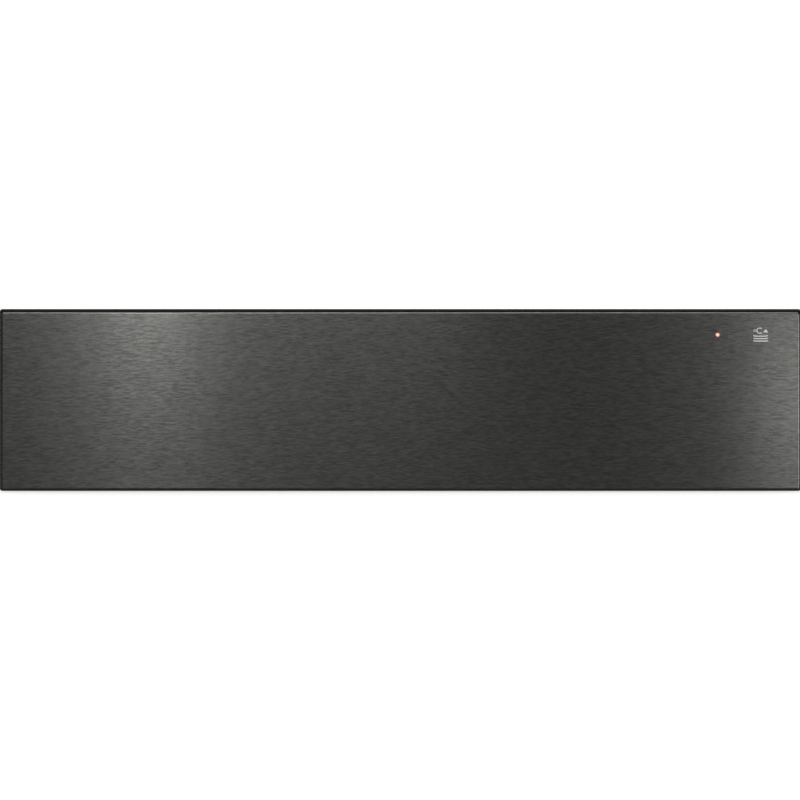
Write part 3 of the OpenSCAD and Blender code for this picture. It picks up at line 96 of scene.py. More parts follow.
def node(material, kind, inputs=None, into=None, stops=(), **settings):
    """Adds one node. Inputs gives each socket a value or another node's output, into is the
    socket that its own output goes to, and stops are a ramp's places and colours."""
    made = material.node_tree.nodes.new(kind)
    for name, value in settings.items():
        setattr(made, name, value)
    for socket, value in (inputs or {}).items():
        if isinstance(value, bpy.types.NodeSocket):
            material.node_tree.links.new(value, made.inputs[socket])
        else:
            made.inputs[socket].default_value = value
    if stops:
        ramp = made.color_ramp.elements
        for element, (place, colour) in zip(ramp, (stops[0], stops[-1])):
            element.position, element.color = place, linear(colour)
        for place, colour in stops[1:-1]:
            ramp.new(place).color = linear(colour)
    if into:
        material.node_tree.links.new(made.outputs[0], into)
    return made


def surface(name, colour, roughness, metallic=0.0, **sockets):
    """A material with one shader; sockets are its other constant settings."""
    material = bpy.data.materials.new(name)
    material.use_nodes = True
    shader = material.node_tree.nodes["Principled BSDF"]
    shader.inputs["Base Color"].default_value = linear(colour)
    shader.inputs["Roughness"].default_value = roughness
    shader.inputs["Metallic"].default_value = metallic
    for socket, value in sockets.items():
        shader.inputs[socket.replace("_", " ")].default_value = value
    material.diffuse_color = linear(colour)
    return material, shader


# the paper is lit from behind as well, more so where it rises
paper, paper_shader = surface("white_paper", "#9c9c9b", 0.9)
paper_shader.inputs["Emission Color"].default_value = linear("#ffffff")
paper_place = node(paper, "ShaderNodeTexCoord").outputs["Object"]
paper_height = node(paper, "ShaderNodeSeparateXYZ", {"Vector": paper_place}).outputs["Z"]
node(paper, "ShaderNodeMapRange", {
    "Value": paper_height, "From Min": 0.0, "From Max": WALL_FROM,
    "To Min": FLOOR_GLOW, "To Max": WALL_GLOW}, paper_shader.inputs["Emission Strength"])

bpy.ops.mesh.primitive_plane_add(size=1, location=(0, 0, 0))
sweep = bpy.context.object
sweep.name = "paper_sweep"
bpy.ops.object.mode_set(mode="EDIT")
bpy.ops.transform.resize(value=(PAPER_WIDTH, PAPER_BACK - PAPER_FRONT, 1))
bpy.ops.transform.translate(value=(0, (PAPER_BACK + PAPER_FRONT) / 2, 0))
bpy.ops.mesh.select_all(action="DESELECT")
bpy.ops.object.mode_set(mode="OBJECT")
for edge in sweep.data.edges:
    edge.select = all(sweep.data.vertices[v].co.y > PAPER_BACK - 0.01 for v in edge.vertices)
bpy.ops.object.mode_set(mode="EDIT")
bpy.ops.mesh.select_mode(type="EDGE")
bpy.ops.mesh.extrude_region_move(TRANSFORM_OT_translate={"value": (0, 0, PAPER_HEIGHT)})
bpy.ops.mesh.select_all(action="DESELECT")
bpy.ops.object.mode_set(mode="OBJECT")
for edge in sweep.data.edges:
    edge.select = all(sweep.data.vertices[v].co.y > PAPER_BACK - 0.01
                      and sweep.data.vertices[v].co.z < 0.01 for v in edge.vertices)
bpy.ops.object.mode_set(mode="EDIT")
bpy.ops.mesh.bevel(offset=PAPER_CURVE, segments=16)
bpy.ops.object.mode_set(mode="OBJECT")
bpy.ops.object.shade_smooth()
sweep.data.materials.append(paper)


def softbox(name, centre, target, width, height, brightness):
    """A rectangular light that faces its target; brightness is its radiance."""
    bpy.ops.object.light_add(type="AREA", location=centre)
    light = bpy.context.object
    light.name = name
    light.data.shape = "RECTANGLE"
    light.data.size = width
    light.data.size_y = height
    light.data.energy = brightness * math.pi * width * height
    aim = Vector(target) - Vector(centre)
    light.rotation_euler = aim.to_track_quat("-Z", "Y").to_euler()


# the steel mirrors the strip as its bright band, and the low box as its bright right end
softbox("strip_left", (-0.383, -2.6, 0.96), (-0.383, 0, 0.96), 0.09, 1.6, 22.0)
softbox("fill_left", (-0.27, -2.9, 1.0), (-0.27, 0, 1.0), 0.76, 1.4, 4.8)
softbox("fill_wide", (0, -3.3, 1.15), (0, 0, 1.15), 3.2, 1.3, 2.3)
softbox("fill_right", (1.16, -3.1, 0.9), (1.16, 0, 0.9), 1.4, 1.6, 1.6)
softbox("box_right", (0.83, -1.25, 0.083), (0.31, -0.27, 0.083), 0.95, 0.155, 12.2)
softbox("box_overhead", (0, -0.1, 2.6), (0, 0.3, 0), 3.0, 3.0, 1.6)

world = bpy.data.worlds.new("studio")
bpy.context.scene.world = world
world.use_nodes = True
world.node_tree.nodes["Background"].inputs["Color"].default_value = linear("#ffffff")
world.node_tree.nodes["Background"].inputs["Strength"].default_value = ROOM_LIGHT

# ---- steel face --------------------------------------------------------------------------
# One sheet of 1 mm stainless steel, coated black and brushed along its length, with its four
# edges folded back round the carrier. The brushing gives short fine hairlines, side to side.
FACE_SET_BACK = 0.05 * MM      # leaves room for the print in front of the steel
TOP_SET_BACK = 0.3 * MM        # the carrier shows this much more above the steel
FOLD_RADIUS = 1.3 * MM
CORNER_RADIUS = 2.0 * MM       # larger than the fold's, or the corner's face would crease
STEEL_GAUGE = 1.0 * MM
HAIRLINE_LENGTH = 5.4 * MM     # real hairlines are a tenth as wide, too fine to show
HAIRLINE_WIDTH = 0.5 * MM
HAIRLINE_DEPTH = 0.05 * MM


def select_faces(piece, wanted):
    """Selects the faces of a piece for which wanted(middle, normal) is true."""
    for part in (piece.data.vertices, piece.data.edges, piece.data.polygons):
        for element in part:
            element.select = False
    for face in piece.data.polygons:
        face.select = wanted(face.center, face.normal)


def brushed_black_steel(name, dark, light):
    """Black-coated stainless: the hairlines stretch every reflection upright into a band."""
    material, shader = surface(name, light, 0.2, 1.0, Anisotropic=0.78)
    place = node(material, "ShaderNodeTexCoord").outputs["Object"]
    stretched = node(material, "ShaderNodeMapping", {
        "Vector": place,
        "Scale": (1 / HAIRLINE_LENGTH, 1 / HAIRLINE_LENGTH, 1 / HAIRLINE_WIDTH)}).outputs[0]
    lines = node(material, "ShaderNodeTexNoise", {
        "Vector": stretched, "Scale": 1.0, "Detail": 2.0, "Roughness": 0.6,
        "Distortion": 0.15}).outputs["Fac"]
    node(material, "ShaderNodeValToRGB", {"Fac": lines}, shader.inputs["Base Color"],
         ((0.32, dark), (0.68, light)))
    node(material, "ShaderNodeBump", {"Height": lines, "Strength": 0.125,
                                      "Distance": HAIRLINE_DEPTH}, shader.inputs["Normal"])
    node(material, "ShaderNodeCombineXYZ", {"X": 0.0, "Y": 0.0, "Z": 1.0},
         shader.inputs["Tangent"])
    return material


middle = [(face_low[i] + face_high[i]) / 2 for i in range(3)]
bpy.ops.object.select_all(action="DESELECT")
bpy.ops.mesh.primitive_cube_add(size=1)
steel_face = bpy.context.object
steel_face.name = "steel_face"
bpy.ops.object.mode_set(mode="EDIT")
bpy.ops.transform.resize(value=(face_high[0] - face_low[0],
                                face_high[1] - face_low[1] - FACE_SET_BACK,
                                face_high[2] - face_low[2] - TOP_SET_BACK))
bpy.ops.transform.translate(value=(middle[0], middle[1] + FACE_SET_BACK / 2,
                                   middle[2] - TOP_SET_BACK / 2))
bpy.ops.object.mode_set(mode="OBJECT")
select_faces(steel_face, lambda centre, normal: normal.y > 0.9)
bpy.ops.object.mode_set(mode="EDIT")
bpy.ops.mesh.delete(type="ONLY_FACE")
bpy.ops.object.mode_set(mode="OBJECT")


def select_edges(piece, wanted):
    """Selects the edges of a piece for which wanted(one end, other end) is true."""
    select_faces(piece, lambda centre, normal: False)
    for edge in piece.data.edges:
        edge.select = wanted(*(piece.data.vertices[v].co for v in edge.vertices))


def modify(piece, kind, **settings):
    """Adds one modifier with its settings to the active piece and applies it."""
    bpy.ops.object.modifier_add(type=kind)
    for name, value in settings.items():
        setattr(piece.modifiers[-1], name, value)
    bpy.ops.object.modifier_apply(modifier=piece.modifiers[-1].name)


def smooth(piece, angle):
    """Shades rounded edges smooth up to angle in degrees and keeps the flat faces flat."""
    bpy.ops.object.shade_smooth_by_angle(angle=math.radians(angle))
    modify(piece, "WEIGHTED_NORMAL", keep_sharp=True)


for wanted, radius in ((lambda a, b: abs(a.y - b.y) > MM, CORNER_RADIUS),
                       (lambda a, b: max(a.y, b.y) < middle[1], FOLD_RADIUS)):
    select_edges(steel_face, wanted)
    bpy.ops.object.mode_set(mode="EDIT")
    bpy.ops.mesh.select_mode(type="EDGE")
    bpy.ops.mesh.bevel(offset=radius, segments=6)
    bpy.ops.object.mode_set(mode="OBJECT")
modify(steel_face, "SOLIDIFY", thickness=STEEL_GAUGE, offset=-1)
smooth(steel_face, 30)
# the upper and the right fold get a lighter copy of the steel, a painted highlight where those
# edges catch the light, so they show lighter
for steel_material in (brushed_black_steel("brushed_black_steel", "#232322", "#363635"),
                brushed_black_steel("painted_highlight_black_steel", "#565654", "#6e6e6b")):
    steel_face.data.materials.append(steel_material)
# faces of the upper and right folds take the lighter copy: a painted highlight, not a
# different coating
for face in steel_face.data.polygons:
    if -0.97 < face.normal.y < -0.2 and max(face.normal.x, face.normal.z) > 0.2:
        face.material_index = 1
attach(steel_face, "drawer")
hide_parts("fascia")

# ---- white pictogram ---------------------------------------------------------------------
# Screen-printed on the steel right of the lamp in white ink, a few hundredths of a millimetre
# thick: a degree sign, a C, an arrowhead and three shallow plates stacked under them.
PRINT_LIFT = 0.04 * MM         # from what is printed on to the front of the ink
INK_FILM = 0.03 * MM
INK_GRAIN = 0.3 * MM
PRINT_CENTRE = (268.1 * MM, 117.0 * MM)
LETTER_HEIGHT = 4.5 * MM
LETTER_PLACE = (-1.2 * MM, 3.05 * MM)      # places are right of and above the print's centre
LETTER_SWELL = 0.1 * MM
DEGREE_HEIGHT = 2.5 * MM
DEGREE_PLACE = (-4.6 * MM, 3.7 * MM)
ARROW_WIDTH = 3.9 * MM
ARROW_HEIGHT = 2.3 * MM
ARROW_PLACE = (3.7 * MM, 2.85 * MM)
PLATE_TOP = -0.75 * MM
PLATE_WIDTH = 10.9 * MM
PLATE_LINE = 0.76 * MM
PLATE_PITCH = 1.83 * MM
PLATE_BOW = 0.35 * MM
CAPITAL_SHARE = 0.7            # height of a capital as a share of the type size


def join(pieces, name):
    """Joins pieces into the first one, puts its place into its mesh and names it."""
    bpy.ops.object.select_all(action="DESELECT")
    for piece in pieces:
        piece.select_set(True)
    bpy.context.view_layer.objects.active = pieces[0]
    if len(pieces) > 1:
        bpy.ops.object.join()
    bpy.ops.object.transform_apply(location=True, rotation=True, scale=True)
    pieces[0].name = name
    return pieces[0]


def printed_ink(name, thin, full):
    """Matt screen ink: a shade greyer where the film of it is thin."""
    material, shader = surface(name, full, 0.6, Specular_IOR_Level=0.2)
    place = node(material, "ShaderNodeTexCoord").outputs["Object"]
    film = node(material, "ShaderNodeTexNoise", {"Vector": place, "Scale": 1 / INK_GRAIN,
                                                 "Detail": 2.0}).outputs["Fac"]
    node(material, "ShaderNodeValToRGB", {"Fac": film}, shader.inputs["Base Color"],
         ((0.35, thin), (0.6, full)))
    return material


def printed(marks, name, ink, body):
    """Joins printed marks, gives their ink its thickness and lays them on a body."""
    piece = join(marks, name)
    modify(piece, "SOLIDIFY", thickness=INK_FILM, offset=-1)
    piece.data.materials.clear()
    piece.data.materials.append(ink)
    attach(piece, body)


def lettering(words, height, place, lean=0, swell=0):
    """Words printed flat on an upright face that looks towards -Y and lean degrees down. Swell
    thickens their strokes."""
    bpy.ops.object.select_all(action="DESELECT")
    bpy.ops.object.text_add(location=place, rotation=(math.radians(90 + lean), 0, 0))
    text = bpy.context.object
    text.data.body = words
    text.data.size = height / CAPITAL_SHARE
    text.data.offset = swell
    text.data.align_x = "CENTER"
    text.data.align_y = "CENTER"
    bpy.ops.object.convert(target="MESH")
    return bpy.context.object


def bowed_line(centre, width, thickness, bow):
    """A flat printed stroke whose two ends turn up."""
    bpy.ops.object.select_all(action="DESELECT")
    bpy.ops.mesh.primitive_plane_add(size=1, location=centre,
                                     rotation=(math.radians(90), 0, 0))
    line = bpy.context.object
    line.scale = (width, thickness, 1)
    bpy.ops.object.mode_set(mode="EDIT")
    bpy.ops.mesh.subdivide(number_cuts=9)
    bpy.ops.object.mode_set(mode="OBJECT")
    for point in line.data.vertices:
        point.co.y += bow / thickness * (2 * point.co.x) ** 4
    return line


def triangle(centre, width, height):
    """A flat printed arrowhead that points up."""
    bpy.ops.object.select_all(action="DESELECT")
    bpy.ops.mesh.primitive_circle_add(
        vertices=3, radius=width / math.sqrt(3), fill_type="NGON", location=centre,
        rotation=(math.radians(90), 0, 0))
    bpy.context.object.scale.y = height / (width * math.sqrt(3) / 2)
    return bpy.context.object


def beside_centre(place):
    """A point of the printed surface from its place beside the pictogram's centre."""
    return (PRINT_CENTRE[0] + place[0], FACE_Y + FACE_SET_BACK - PRINT_LIFT,
            PRINT_CENTRE[1] + place[1])


marks = [lettering("C", LETTER_HEIGHT, beside_centre(LETTER_PLACE), swell=LETTER_SWELL),
         lettering("o", DEGREE_HEIGHT, beside_centre(DEGREE_PLACE)),
         triangle(beside_centre(ARROW_PLACE), ARROW_WIDTH, ARROW_HEIGHT)]
for level in range(3):
    marks.append(bowed_line(beside_centre((0, PLATE_TOP - level * PLATE_PITCH)),
                            PLATE_WIDTH, PLATE_LINE, PLATE_BOW))
printed(marks, "pictogram", printed_ink("white_screen_print", "#929290", "#9e9e9c"), "drawer")

# ---- carrier moulding --------------------------------------------------------------------
# A tray injection moulded in black ABS, which the steel face clips over. Its spark-eroded
# grain keeps it nearly black against the bright steel.
ABS_GRAIN = 0.3 * MM

body_of = {name: body for body, names in frame["record"]["behaviour"]["bodies"].items()
           for name in names}


def grained_abs(name, colour):
    """Moulded ABS: a fine pitted grain breaks the gloss up into a dull sheen."""
    material, shader = surface(name, colour, 0.5, Specular_IOR_Level=0.08)
    place = node(material, "ShaderNodeTexCoord").outputs["Object"]
    pits = node(material, "ShaderNodeTexNoise", {"Vector": place, "Scale": 1 / ABS_GRAIN,
                                                 "Detail": 2.0}).outputs["Fac"]
    node(material, "ShaderNodeBump", {"Height": pits, "Strength": 0.25, "Distance": 0.03 * MM},
         shader.inputs["Normal"])
    return material


def rounded(name, edge, material):
    """Stands for a CAD piece with the same form, its sharp edges rounded by edge."""
    piece = bpy.data.objects.new(name + "_finished", frame["nodes"][name].data.copy())
    bpy.context.collection.objects.link(piece)
    bpy.ops.object.select_all(action="DESELECT")
    bpy.context.view_layer.objects.active = piece
    piece.select_set(True)
    bpy.ops.object.mode_set(mode="EDIT")
    bpy.ops.mesh.select_all(action="SELECT")
    bpy.ops.mesh.customdata_custom_splitnormals_clear()
    bpy.ops.mesh.remove_doubles(threshold=0.002 * MM)
    bpy.ops.mesh.dissolve_limited(angle_limit=math.radians(0.5))
    bpy.ops.object.mode_set(mode="OBJECT")
    modify(piece, "BEVEL", width=edge, segments=2, limit_method="ANGLE",
           angle_limit=math.radians(40))
    smooth(piece, 35)
    piece.data.materials.clear()
    piece.data.materials.append(material)
    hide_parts(name)
    return piece


def finished(name, edge, material):
    """A rounded piece that moves with the body its CAD piece belongs to."""
    piece = rounded(name, edge, material)
    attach(piece, body_of[name])
    return piece


black_abs = grained_abs("black_moulded_abs", "#090909")
finished("front_carrier", 0.12 * MM, black_abs)

# ---- inside of the front -----------------------------------------------------------------
# Pressed mineral wool slabs fill the carrier, a satin stainless panel closes it, and a hollow
# black silicone gasket with a rounded back is glued on round that panel.
WOOL_FIBRE = 0.9 * MM          # strands are drawn coarser than real so that they show
ROLLING_WIDTH = 0.35 * MM      # so is the grain that rolling leaves
ROLLING_LENGTH = 9 * MM
SKIN_MOTTLE = 0.5 * MM


def pressed_mineral_wool():
    """Yellow-brown fibre felt: matt, with long tangled strands."""
    material, shader = surface("pressed_mineral_wool", "#bfa76a", 0.95, Sheen_Weight=0.3)
    place = node(material, "ShaderNodeTexCoord").outputs["Object"]
    strands = node(material, "ShaderNodeTexNoise", {
        "Vector": place, "Scale": 1 / WOOL_FIBRE, "Detail": 5.0, "Distortion": 2.5}).outputs[0]
    node(material, "ShaderNodeValToRGB", {"Fac": strands}, shader.inputs["Base Color"],
         ((0.3, "#8f7a45"), (0.7, "#d8c690")))
    node(material, "ShaderNodeBump", {"Height": strands, "Distance": 0.5 * MM},
         shader.inputs["Normal"])
    return material


def satin_stainless(name, along):
    """Cold-rolled satin stainless: faint grain along an axis, soft stretched reflections."""
    material, shader = surface(name, "#b4b4b1", 0.3, 1.0, Anisotropic=0.5)
    grain = [1 / ROLLING_WIDTH] * 3
    grain[along] = 1 / ROLLING_LENGTH
    place = node(material, "ShaderNodeTexCoord").outputs["Object"]
    stretched = node(material, "ShaderNodeMapping", {
        "Vector": place, "Scale": grain}).outputs[0]
    lines = node(material, "ShaderNodeTexNoise", {
        "Vector": stretched, "Scale": 1.0, "Detail": 3.0}).outputs["Fac"]
    node(material, "ShaderNodeMapRange", {"Value": lines, "To Min": 0.22, "To Max": 0.38},
         shader.inputs["Roughness"])
    node(material, "ShaderNodeBump", {"Height": lines, "Strength": 0.04,
                                      "Distance": 0.05 * MM}, shader.inputs["Normal"])
    return material


def matt_skin(name, colour):
    """Silicone, rubber or unglazed ceramic: matt, faintly mottled, with a soft edge sheen."""
    material, shader = surface(name, colour, 0.7, Sheen_Weight=0.15)
    place = node(material, "ShaderNodeTexCoord").outputs["Object"]
    skin = node(material, "ShaderNodeTexNoise", {"Vector": place, "Scale": 1 / SKIN_MOTTLE,
                                                 "Detail": 2.0}).outputs["Fac"]
    node(material, "ShaderNodeBump", {"Height": skin, "Strength": 0.2, "Distance": 0.05 * MM},
         shader.inputs["Normal"])
    return material


stainless_x = satin_stainless("satin_stainless_across", 0)
stainless_y = satin_stainless("satin_stainless_lengthwise", 1)
finished("front_insulation", 1.2 * MM, pressed_mineral_wool())
finished("front_seal", 2.0 * MM, matt_skin("black_silicone", "#161617"))
finished("front_liner", 0.2 * MM, stainless_x)

# ---- light guide -------------------------------------------------------------------------
# A clear acrylic rod that ends flush in the steel. The lamp behind makes its end glow warm
# white in the middle and orange-red round it.
GLOW_HOT = "#ffddbd"
GLOW_WARM = "#d95c38"
GLOW_EDGE = "#54221a"
GUIDE_CHAMFER = 0.25 * MM
GUIDE_LENS = 0.5 * MM          # width of the slope inside the chamfer
GUIDE_DOME = 0.03 * MM


def glowing_acrylic(centre, radius):
    """Lit acrylic: brightest on the rod's axis, and orange where the light grazes its wall."""
    material, shader = surface("glowing_acrylic", "#3a1c12", 0.15)
    place = node(material, "ShaderNodeTexCoord").outputs["Object"]
    from_axis = node(material, "ShaderNodeVectorMath", {0: place, 1: centre},
                     operation="SUBTRACT").outputs[0]
    flat = node(material, "ShaderNodeVectorMath", {0: from_axis, 1: (1, 0, 1)},
                operation="MULTIPLY").outputs[0]
    distance = node(material, "ShaderNodeVectorMath", {0: flat},
                    operation="LENGTH").outputs["Value"]
    share = node(material, "ShaderNodeMath", {0: distance, 1: radius},
                 operation="DIVIDE").outputs[0]
    node(material, "ShaderNodeValToRGB", {"Fac": share}, shader.inputs["Emission Color"],
         ((0.38, GLOW_HOT), (0.78, GLOW_WARM), (1.0, GLOW_EDGE)))
    shader.inputs["Emission Strength"].default_value = 0.95
    return material


guide_low, guide_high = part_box("light_guide")
guide_radius = (guide_high[0] - guide_low[0]) / 2
guide_x = (guide_low[0] + guide_high[0]) / 2
guide_z = (guide_low[2] + guide_high[2]) / 2
bpy.ops.object.select_all(action="DESELECT")
bpy.ops.mesh.primitive_cylinder_add(
    vertices=32, radius=guide_radius, depth=guide_high[1] - guide_low[1],
    location=(guide_x, (guide_low[1] + guide_high[1]) / 2, guide_z),
    rotation=(math.radians(90), 0, 0))
guide = join([bpy.context.object], "light_guide_rod")
select_faces(guide, lambda centre, normal: normal.y < -0.9)
bpy.ops.object.mode_set(mode="EDIT")
bpy.ops.mesh.select_mode(type="FACE")
bpy.ops.mesh.inset(thickness=GUIDE_CHAMFER, depth=-GUIDE_DOME)
bpy.ops.mesh.inset(thickness=GUIDE_LENS, depth=GUIDE_DOME)
bpy.ops.object.mode_set(mode="OBJECT")
smooth(guide, 40)
guide.data.materials.append(glowing_acrylic((guide_x, 0, guide_z), guide_radius))
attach(guide, "drawer")
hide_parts("light_guide")

# ---- tub ---------------------------------------------------------------------------------
# Floor, sides and back are bent from 0.9 mm stainless sheet and screwed together. The back
# wall is pierced for the warm air; two zinc-plated plates behind it take the push latches.
for name in ("tub_pan", "tub_back_wall"):
    finished(name, 0.25 * MM, stainless_x)
for name in ("tub_side_left", "tub_side_right"):
    finished(name, 0.25 * MM, stainless_y)

# ---- anti-slip mat -----------------------------------------------------------------------
# Charcoal silicone, moulded with cross ribs that keep crockery from sliding.
finished("antislip_mat", 0.3 * MM, matt_skin("charcoal_silicone", "#1e1f21"))

# ---- screws and plated parts -------------------------------------------------------------
# Pan-head sheet metal screws, rivets and strike plates, zinc plated and passivated clear or
# yellow. The plating is bright but slightly cloudy.
CLOUD = 3 * MM


def clouded_metal(name, dull, bright):
    """Plating, brass, aluminium or drawn wire: bright metal with faint cloudy patches."""
    material, shader = surface(name, bright, 0.28, 1.0)
    place = node(material, "ShaderNodeTexCoord").outputs["Object"]
    clouds = node(material, "ShaderNodeTexNoise", {"Vector": place, "Scale": 1 / CLOUD,
                                                   "Detail": 2.0}).outputs["Fac"]
    node(material, "ShaderNodeValToRGB", {"Fac": clouds}, shader.inputs["Base Color"],
         ((0.35, dull), (0.65, bright)))
    node(material, "ShaderNodeMapRange", {"Value": clouds, "To Min": 0.22, "To Max": 0.36},
         shader.inputs["Roughness"])
    return material


clear_zinc = clouded_metal("clear_zinc_plate", "#a9adb0", "#c6c9cb")
yellow_zinc = clouded_metal("yellow_zinc_plate", "#a08f52", "#cbbb7c")
for name in ("tub_screws", "front_screws", "chassis_screws", "bulkhead_fixings"):
    finished(name, 0.12 * MM, yellow_zinc)
finished("rail_rivets", 0.12 * MM, clear_zinc)
finished("strike_plates", 0.3 * MM, clear_zinc)

# ---- telescopic rails --------------------------------------------------------------------
# Three roll-formed members a side, zinc plated, that run on hard steel balls in pressed
# cages. They hang on galvanised brackets.
SPANGLE = 6 * MM


def paint(material, *names):
    """Gives CAD pieces whose form is right their real finish."""
    for name in names:
        for place in frame["nodes"][name].material_slots:
            place.material = material


def galvanised_sheet():
    """Hot-dip galvanised steel: each frozen zinc crystal has its own grey and gloss."""
    material, shader = surface("galvanised_sheet", "#999da0", 0.5, 1.0)
    place = node(material, "ShaderNodeTexCoord").outputs["Object"]
    crystals = node(material, "ShaderNodeTexVoronoi", {"Vector": place, "Scale": 1 / SPANGLE,
                                                       "Randomness": 1.0}).outputs["Color"]
    shade = node(material, "ShaderNodeSeparateColor", {"Color": crystals}).outputs["Red"]
    node(material, "ShaderNodeValToRGB", {"Fac": shade}, shader.inputs["Base Color"],
         ((0, "#8d9194"), (1, "#a5a9ab")))
    node(material, "ShaderNodeMapRange", {"Value": shade, "To Min": 0.44, "To Max": 0.6},
         shader.inputs["Roughness"])
    return material


galvanised = galvanised_sheet()
for side in ("left", "right"):
    for member in ("inner_rail_", "mid_rail_", "outer_rail_"):
        finished(member + side, 0.15 * MM, clear_zinc)
    paint(clear_zinc, "outer_cage_" + side, "inner_cage_" + side)
    finished("rail_bracket_" + side, 0.2 * MM, galvanised)

# ---- housing sheets ----------------------------------------------------------------------
# Base, sides, back and cover are 0.8 mm galvanised steel, punched, folded and screwed. The
# cover is stiffened by pressed beads, and the back has the pocket for the mains inlet.
for name in ("base_pan", "side_panel_left", "side_panel_right", "rear_panel", "top_cover",
             "rear_bulkhead", "air_chamber"):
    finished(name, 0.2 * MM, galvanised)

# ---- front frame and feet ----------------------------------------------------------------
# The frame is 1 mm steel with a black powder coat, screwed to the niche through four ears.
# The feet are black rubber buttons pressed into the base.
ORANGE_PEEL = 1.6 * MM


def powder_coat():
    """Black powder coat: half gloss, with the gentle ripple that is called orange peel."""
    material, shader = surface("black_powder_coat", "#17181a", 0.38)
    place = node(material, "ShaderNodeTexCoord").outputs["Object"]
    ripple = node(material, "ShaderNodeTexNoise", {"Vector": place, "Scale": 1 / ORANGE_PEEL,
                                                   "Detail": 1.0}).outputs["Fac"]
    node(material, "ShaderNodeBump", {"Height": ripple, "Strength": 0.15,
                                      "Distance": 0.1 * MM}, shader.inputs["Normal"])
    return material


finished("front_frame", 0.25 * MM, powder_coat())
finished("feet", 0.6 * MM, matt_skin("foot_rubber", "#141414"))

# ---- control column and left trim --------------------------------------------------------
# Two black ABS mouldings that fill the frame's opening beside the drawer; the right one is
# hollowed out for the controls and carries the lamp.
finished("control_bezel", 0.35 * MM, black_abs)
finished("left_column_trim", 0.35 * MM, black_abs)

# ---- temperature knob --------------------------------------------------------------------
# Moulded in black ABS: a skirt, a grip with eighteen flutes and a rounded rim, and a raised
# pointer whose front is painted white. It is pushed on the thermostat's shaft.
KNOB_SIDES = 144
SKIRT_STEP = 3 * MM
FLUTES = 18
FLUTE_RADIUS = 1.2 * MM
FLUTE_CENTRE = 0.6 * MM        # outside the grip's own radius
RIM_ROUNDING = 0.9 * MM
SKIRT_ROUNDING = 0.7 * MM
POINTER_RISE = 0.6 * MM
POINTER_HALF = 0.8 * MM
POINTER_START = 1.5 * MM       # from the knob's axis
POINTER_INSET = 0.2 * MM       # from the grip's rim
POINTER_SINK = 1 * MM
PAINT_EDGE = 0.05 * MM         # the paint reaches this far over the pointer's edge
WITHIN = 0.01 * MM             # so close to a plane or circle counts as on it


def recolour(piece, material, wanted):
    """Gives one more material to the faces for which wanted(middle, normal) is true."""
    piece.data.materials.append(material)
    for face in piece.data.polygons:
        if wanted(face.center, face.normal):
            face.material_index = len(piece.data.materials) - 1


def round_bar(name, vertices, radius, start, end, along="Y"):
    """A round bar along an axis from start to end, ready to be shaped."""
    turns = {"X": (0, math.radians(90), 0), "Y": (math.radians(90), 0, 0), "Z": (0, 0, 0)}
    bpy.ops.object.select_all(action="DESELECT")
    bpy.ops.mesh.primitive_cylinder_add(
        vertices=vertices, radius=radius, depth=(Vector(end) - Vector(start)).length,
        location=(Vector(start) + Vector(end)) / 2, rotation=turns[along])
    return join([bpy.context.object], name)


def block(name, low, high, edge):
    """A moulded block between two corners with its edges rounded."""
    bpy.ops.object.select_all(action="DESELECT")
    bpy.ops.mesh.primitive_cube_add(size=1, location=(Vector(low) + Vector(high)) / 2)
    bpy.context.object.scale = Vector(high) - Vector(low)
    piece = join([bpy.context.object], name)
    bpy.ops.object.mode_set(mode="EDIT")
    bpy.ops.mesh.select_all(action="SELECT")
    bpy.ops.mesh.bevel(offset=edge, segments=3)
    bpy.ops.object.mode_set(mode="OBJECT")
    return piece


knob_low, knob_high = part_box("temperature_knob")
skirt_radius = (knob_high[0] - knob_low[0]) / 2
grip_radius = skirt_radius - SKIRT_STEP
knob_x = (knob_low[0] + knob_high[0]) / 2
knob_z = knob_low[2] + skirt_radius
skirt_front = knob_high[1] - SKIRT_STEP
grip_front = knob_low[1] + POINTER_RISE
knob = round_bar("knob", KNOB_SIDES, skirt_radius, (knob_x, skirt_front, knob_z),
                 (knob_x, knob_high[1], knob_z))
select_faces(knob, lambda centre, normal: normal.y < -0.9)
bpy.ops.object.mode_set(mode="EDIT")
bpy.ops.mesh.select_mode(type="FACE")
bpy.ops.mesh.inset(thickness=SKIRT_STEP)
bpy.ops.mesh.extrude_region_move(
    TRANSFORM_OT_translate={"value": (0, grip_front - skirt_front, 0)})
bpy.ops.object.mode_set(mode="OBJECT")
for point in knob.data.vertices:
    x, z = point.co.x - knob_x, point.co.z - knob_z
    if math.hypot(x, z) < grip_radius + WITHIN:
        angle = math.atan2(z, x)
        off = abs((angle + math.pi / FLUTES) % (2 * math.pi / FLUTES) - math.pi / FLUTES)
        if off * grip_radius < FLUTE_RADIUS:
            depth = math.sqrt(FLUTE_RADIUS ** 2 - (off * grip_radius) ** 2) - FLUTE_CENTRE
            if depth > 0:
                point.co.x -= depth * math.cos(angle)
                point.co.z -= depth * math.sin(angle)
for y, least_radius, rounding in ((grip_front, 0, RIM_ROUNDING),
                                  (skirt_front, skirt_radius, SKIRT_ROUNDING)):
    select_edges(knob, lambda a, b: all(
        abs(p.y - y) < WITHIN
        and math.hypot(p.x - knob_x, p.z - knob_z) > least_radius - WITHIN for p in (a, b)))
    bpy.ops.object.mode_set(mode="EDIT")
    bpy.ops.mesh.select_mode(type="EDGE")
    bpy.ops.mesh.bevel(offset=rounding, segments=4)
    bpy.ops.object.mode_set(mode="OBJECT")
pointer = block("pointer",
                (knob_x - POINTER_HALF, knob_low[1], knob_z + POINTER_START),
                (knob_x + POINTER_HALF, grip_front + POINTER_SINK,
                 knob_z + grip_radius - POINTER_INSET), 0.25 * MM)
knob = join([knob, pointer], "knob")
smooth(knob, 40)
knob.data.materials.append(black_abs)
recolour(knob, printed_ink("white_paint_fill", "#c9c9c5", "#dbdbd7"), lambda centre, normal:
         normal.y < -0.9 and centre.y < knob_low[1] + PAINT_EDGE)
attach(knob, "knob")
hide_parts("temperature_knob")

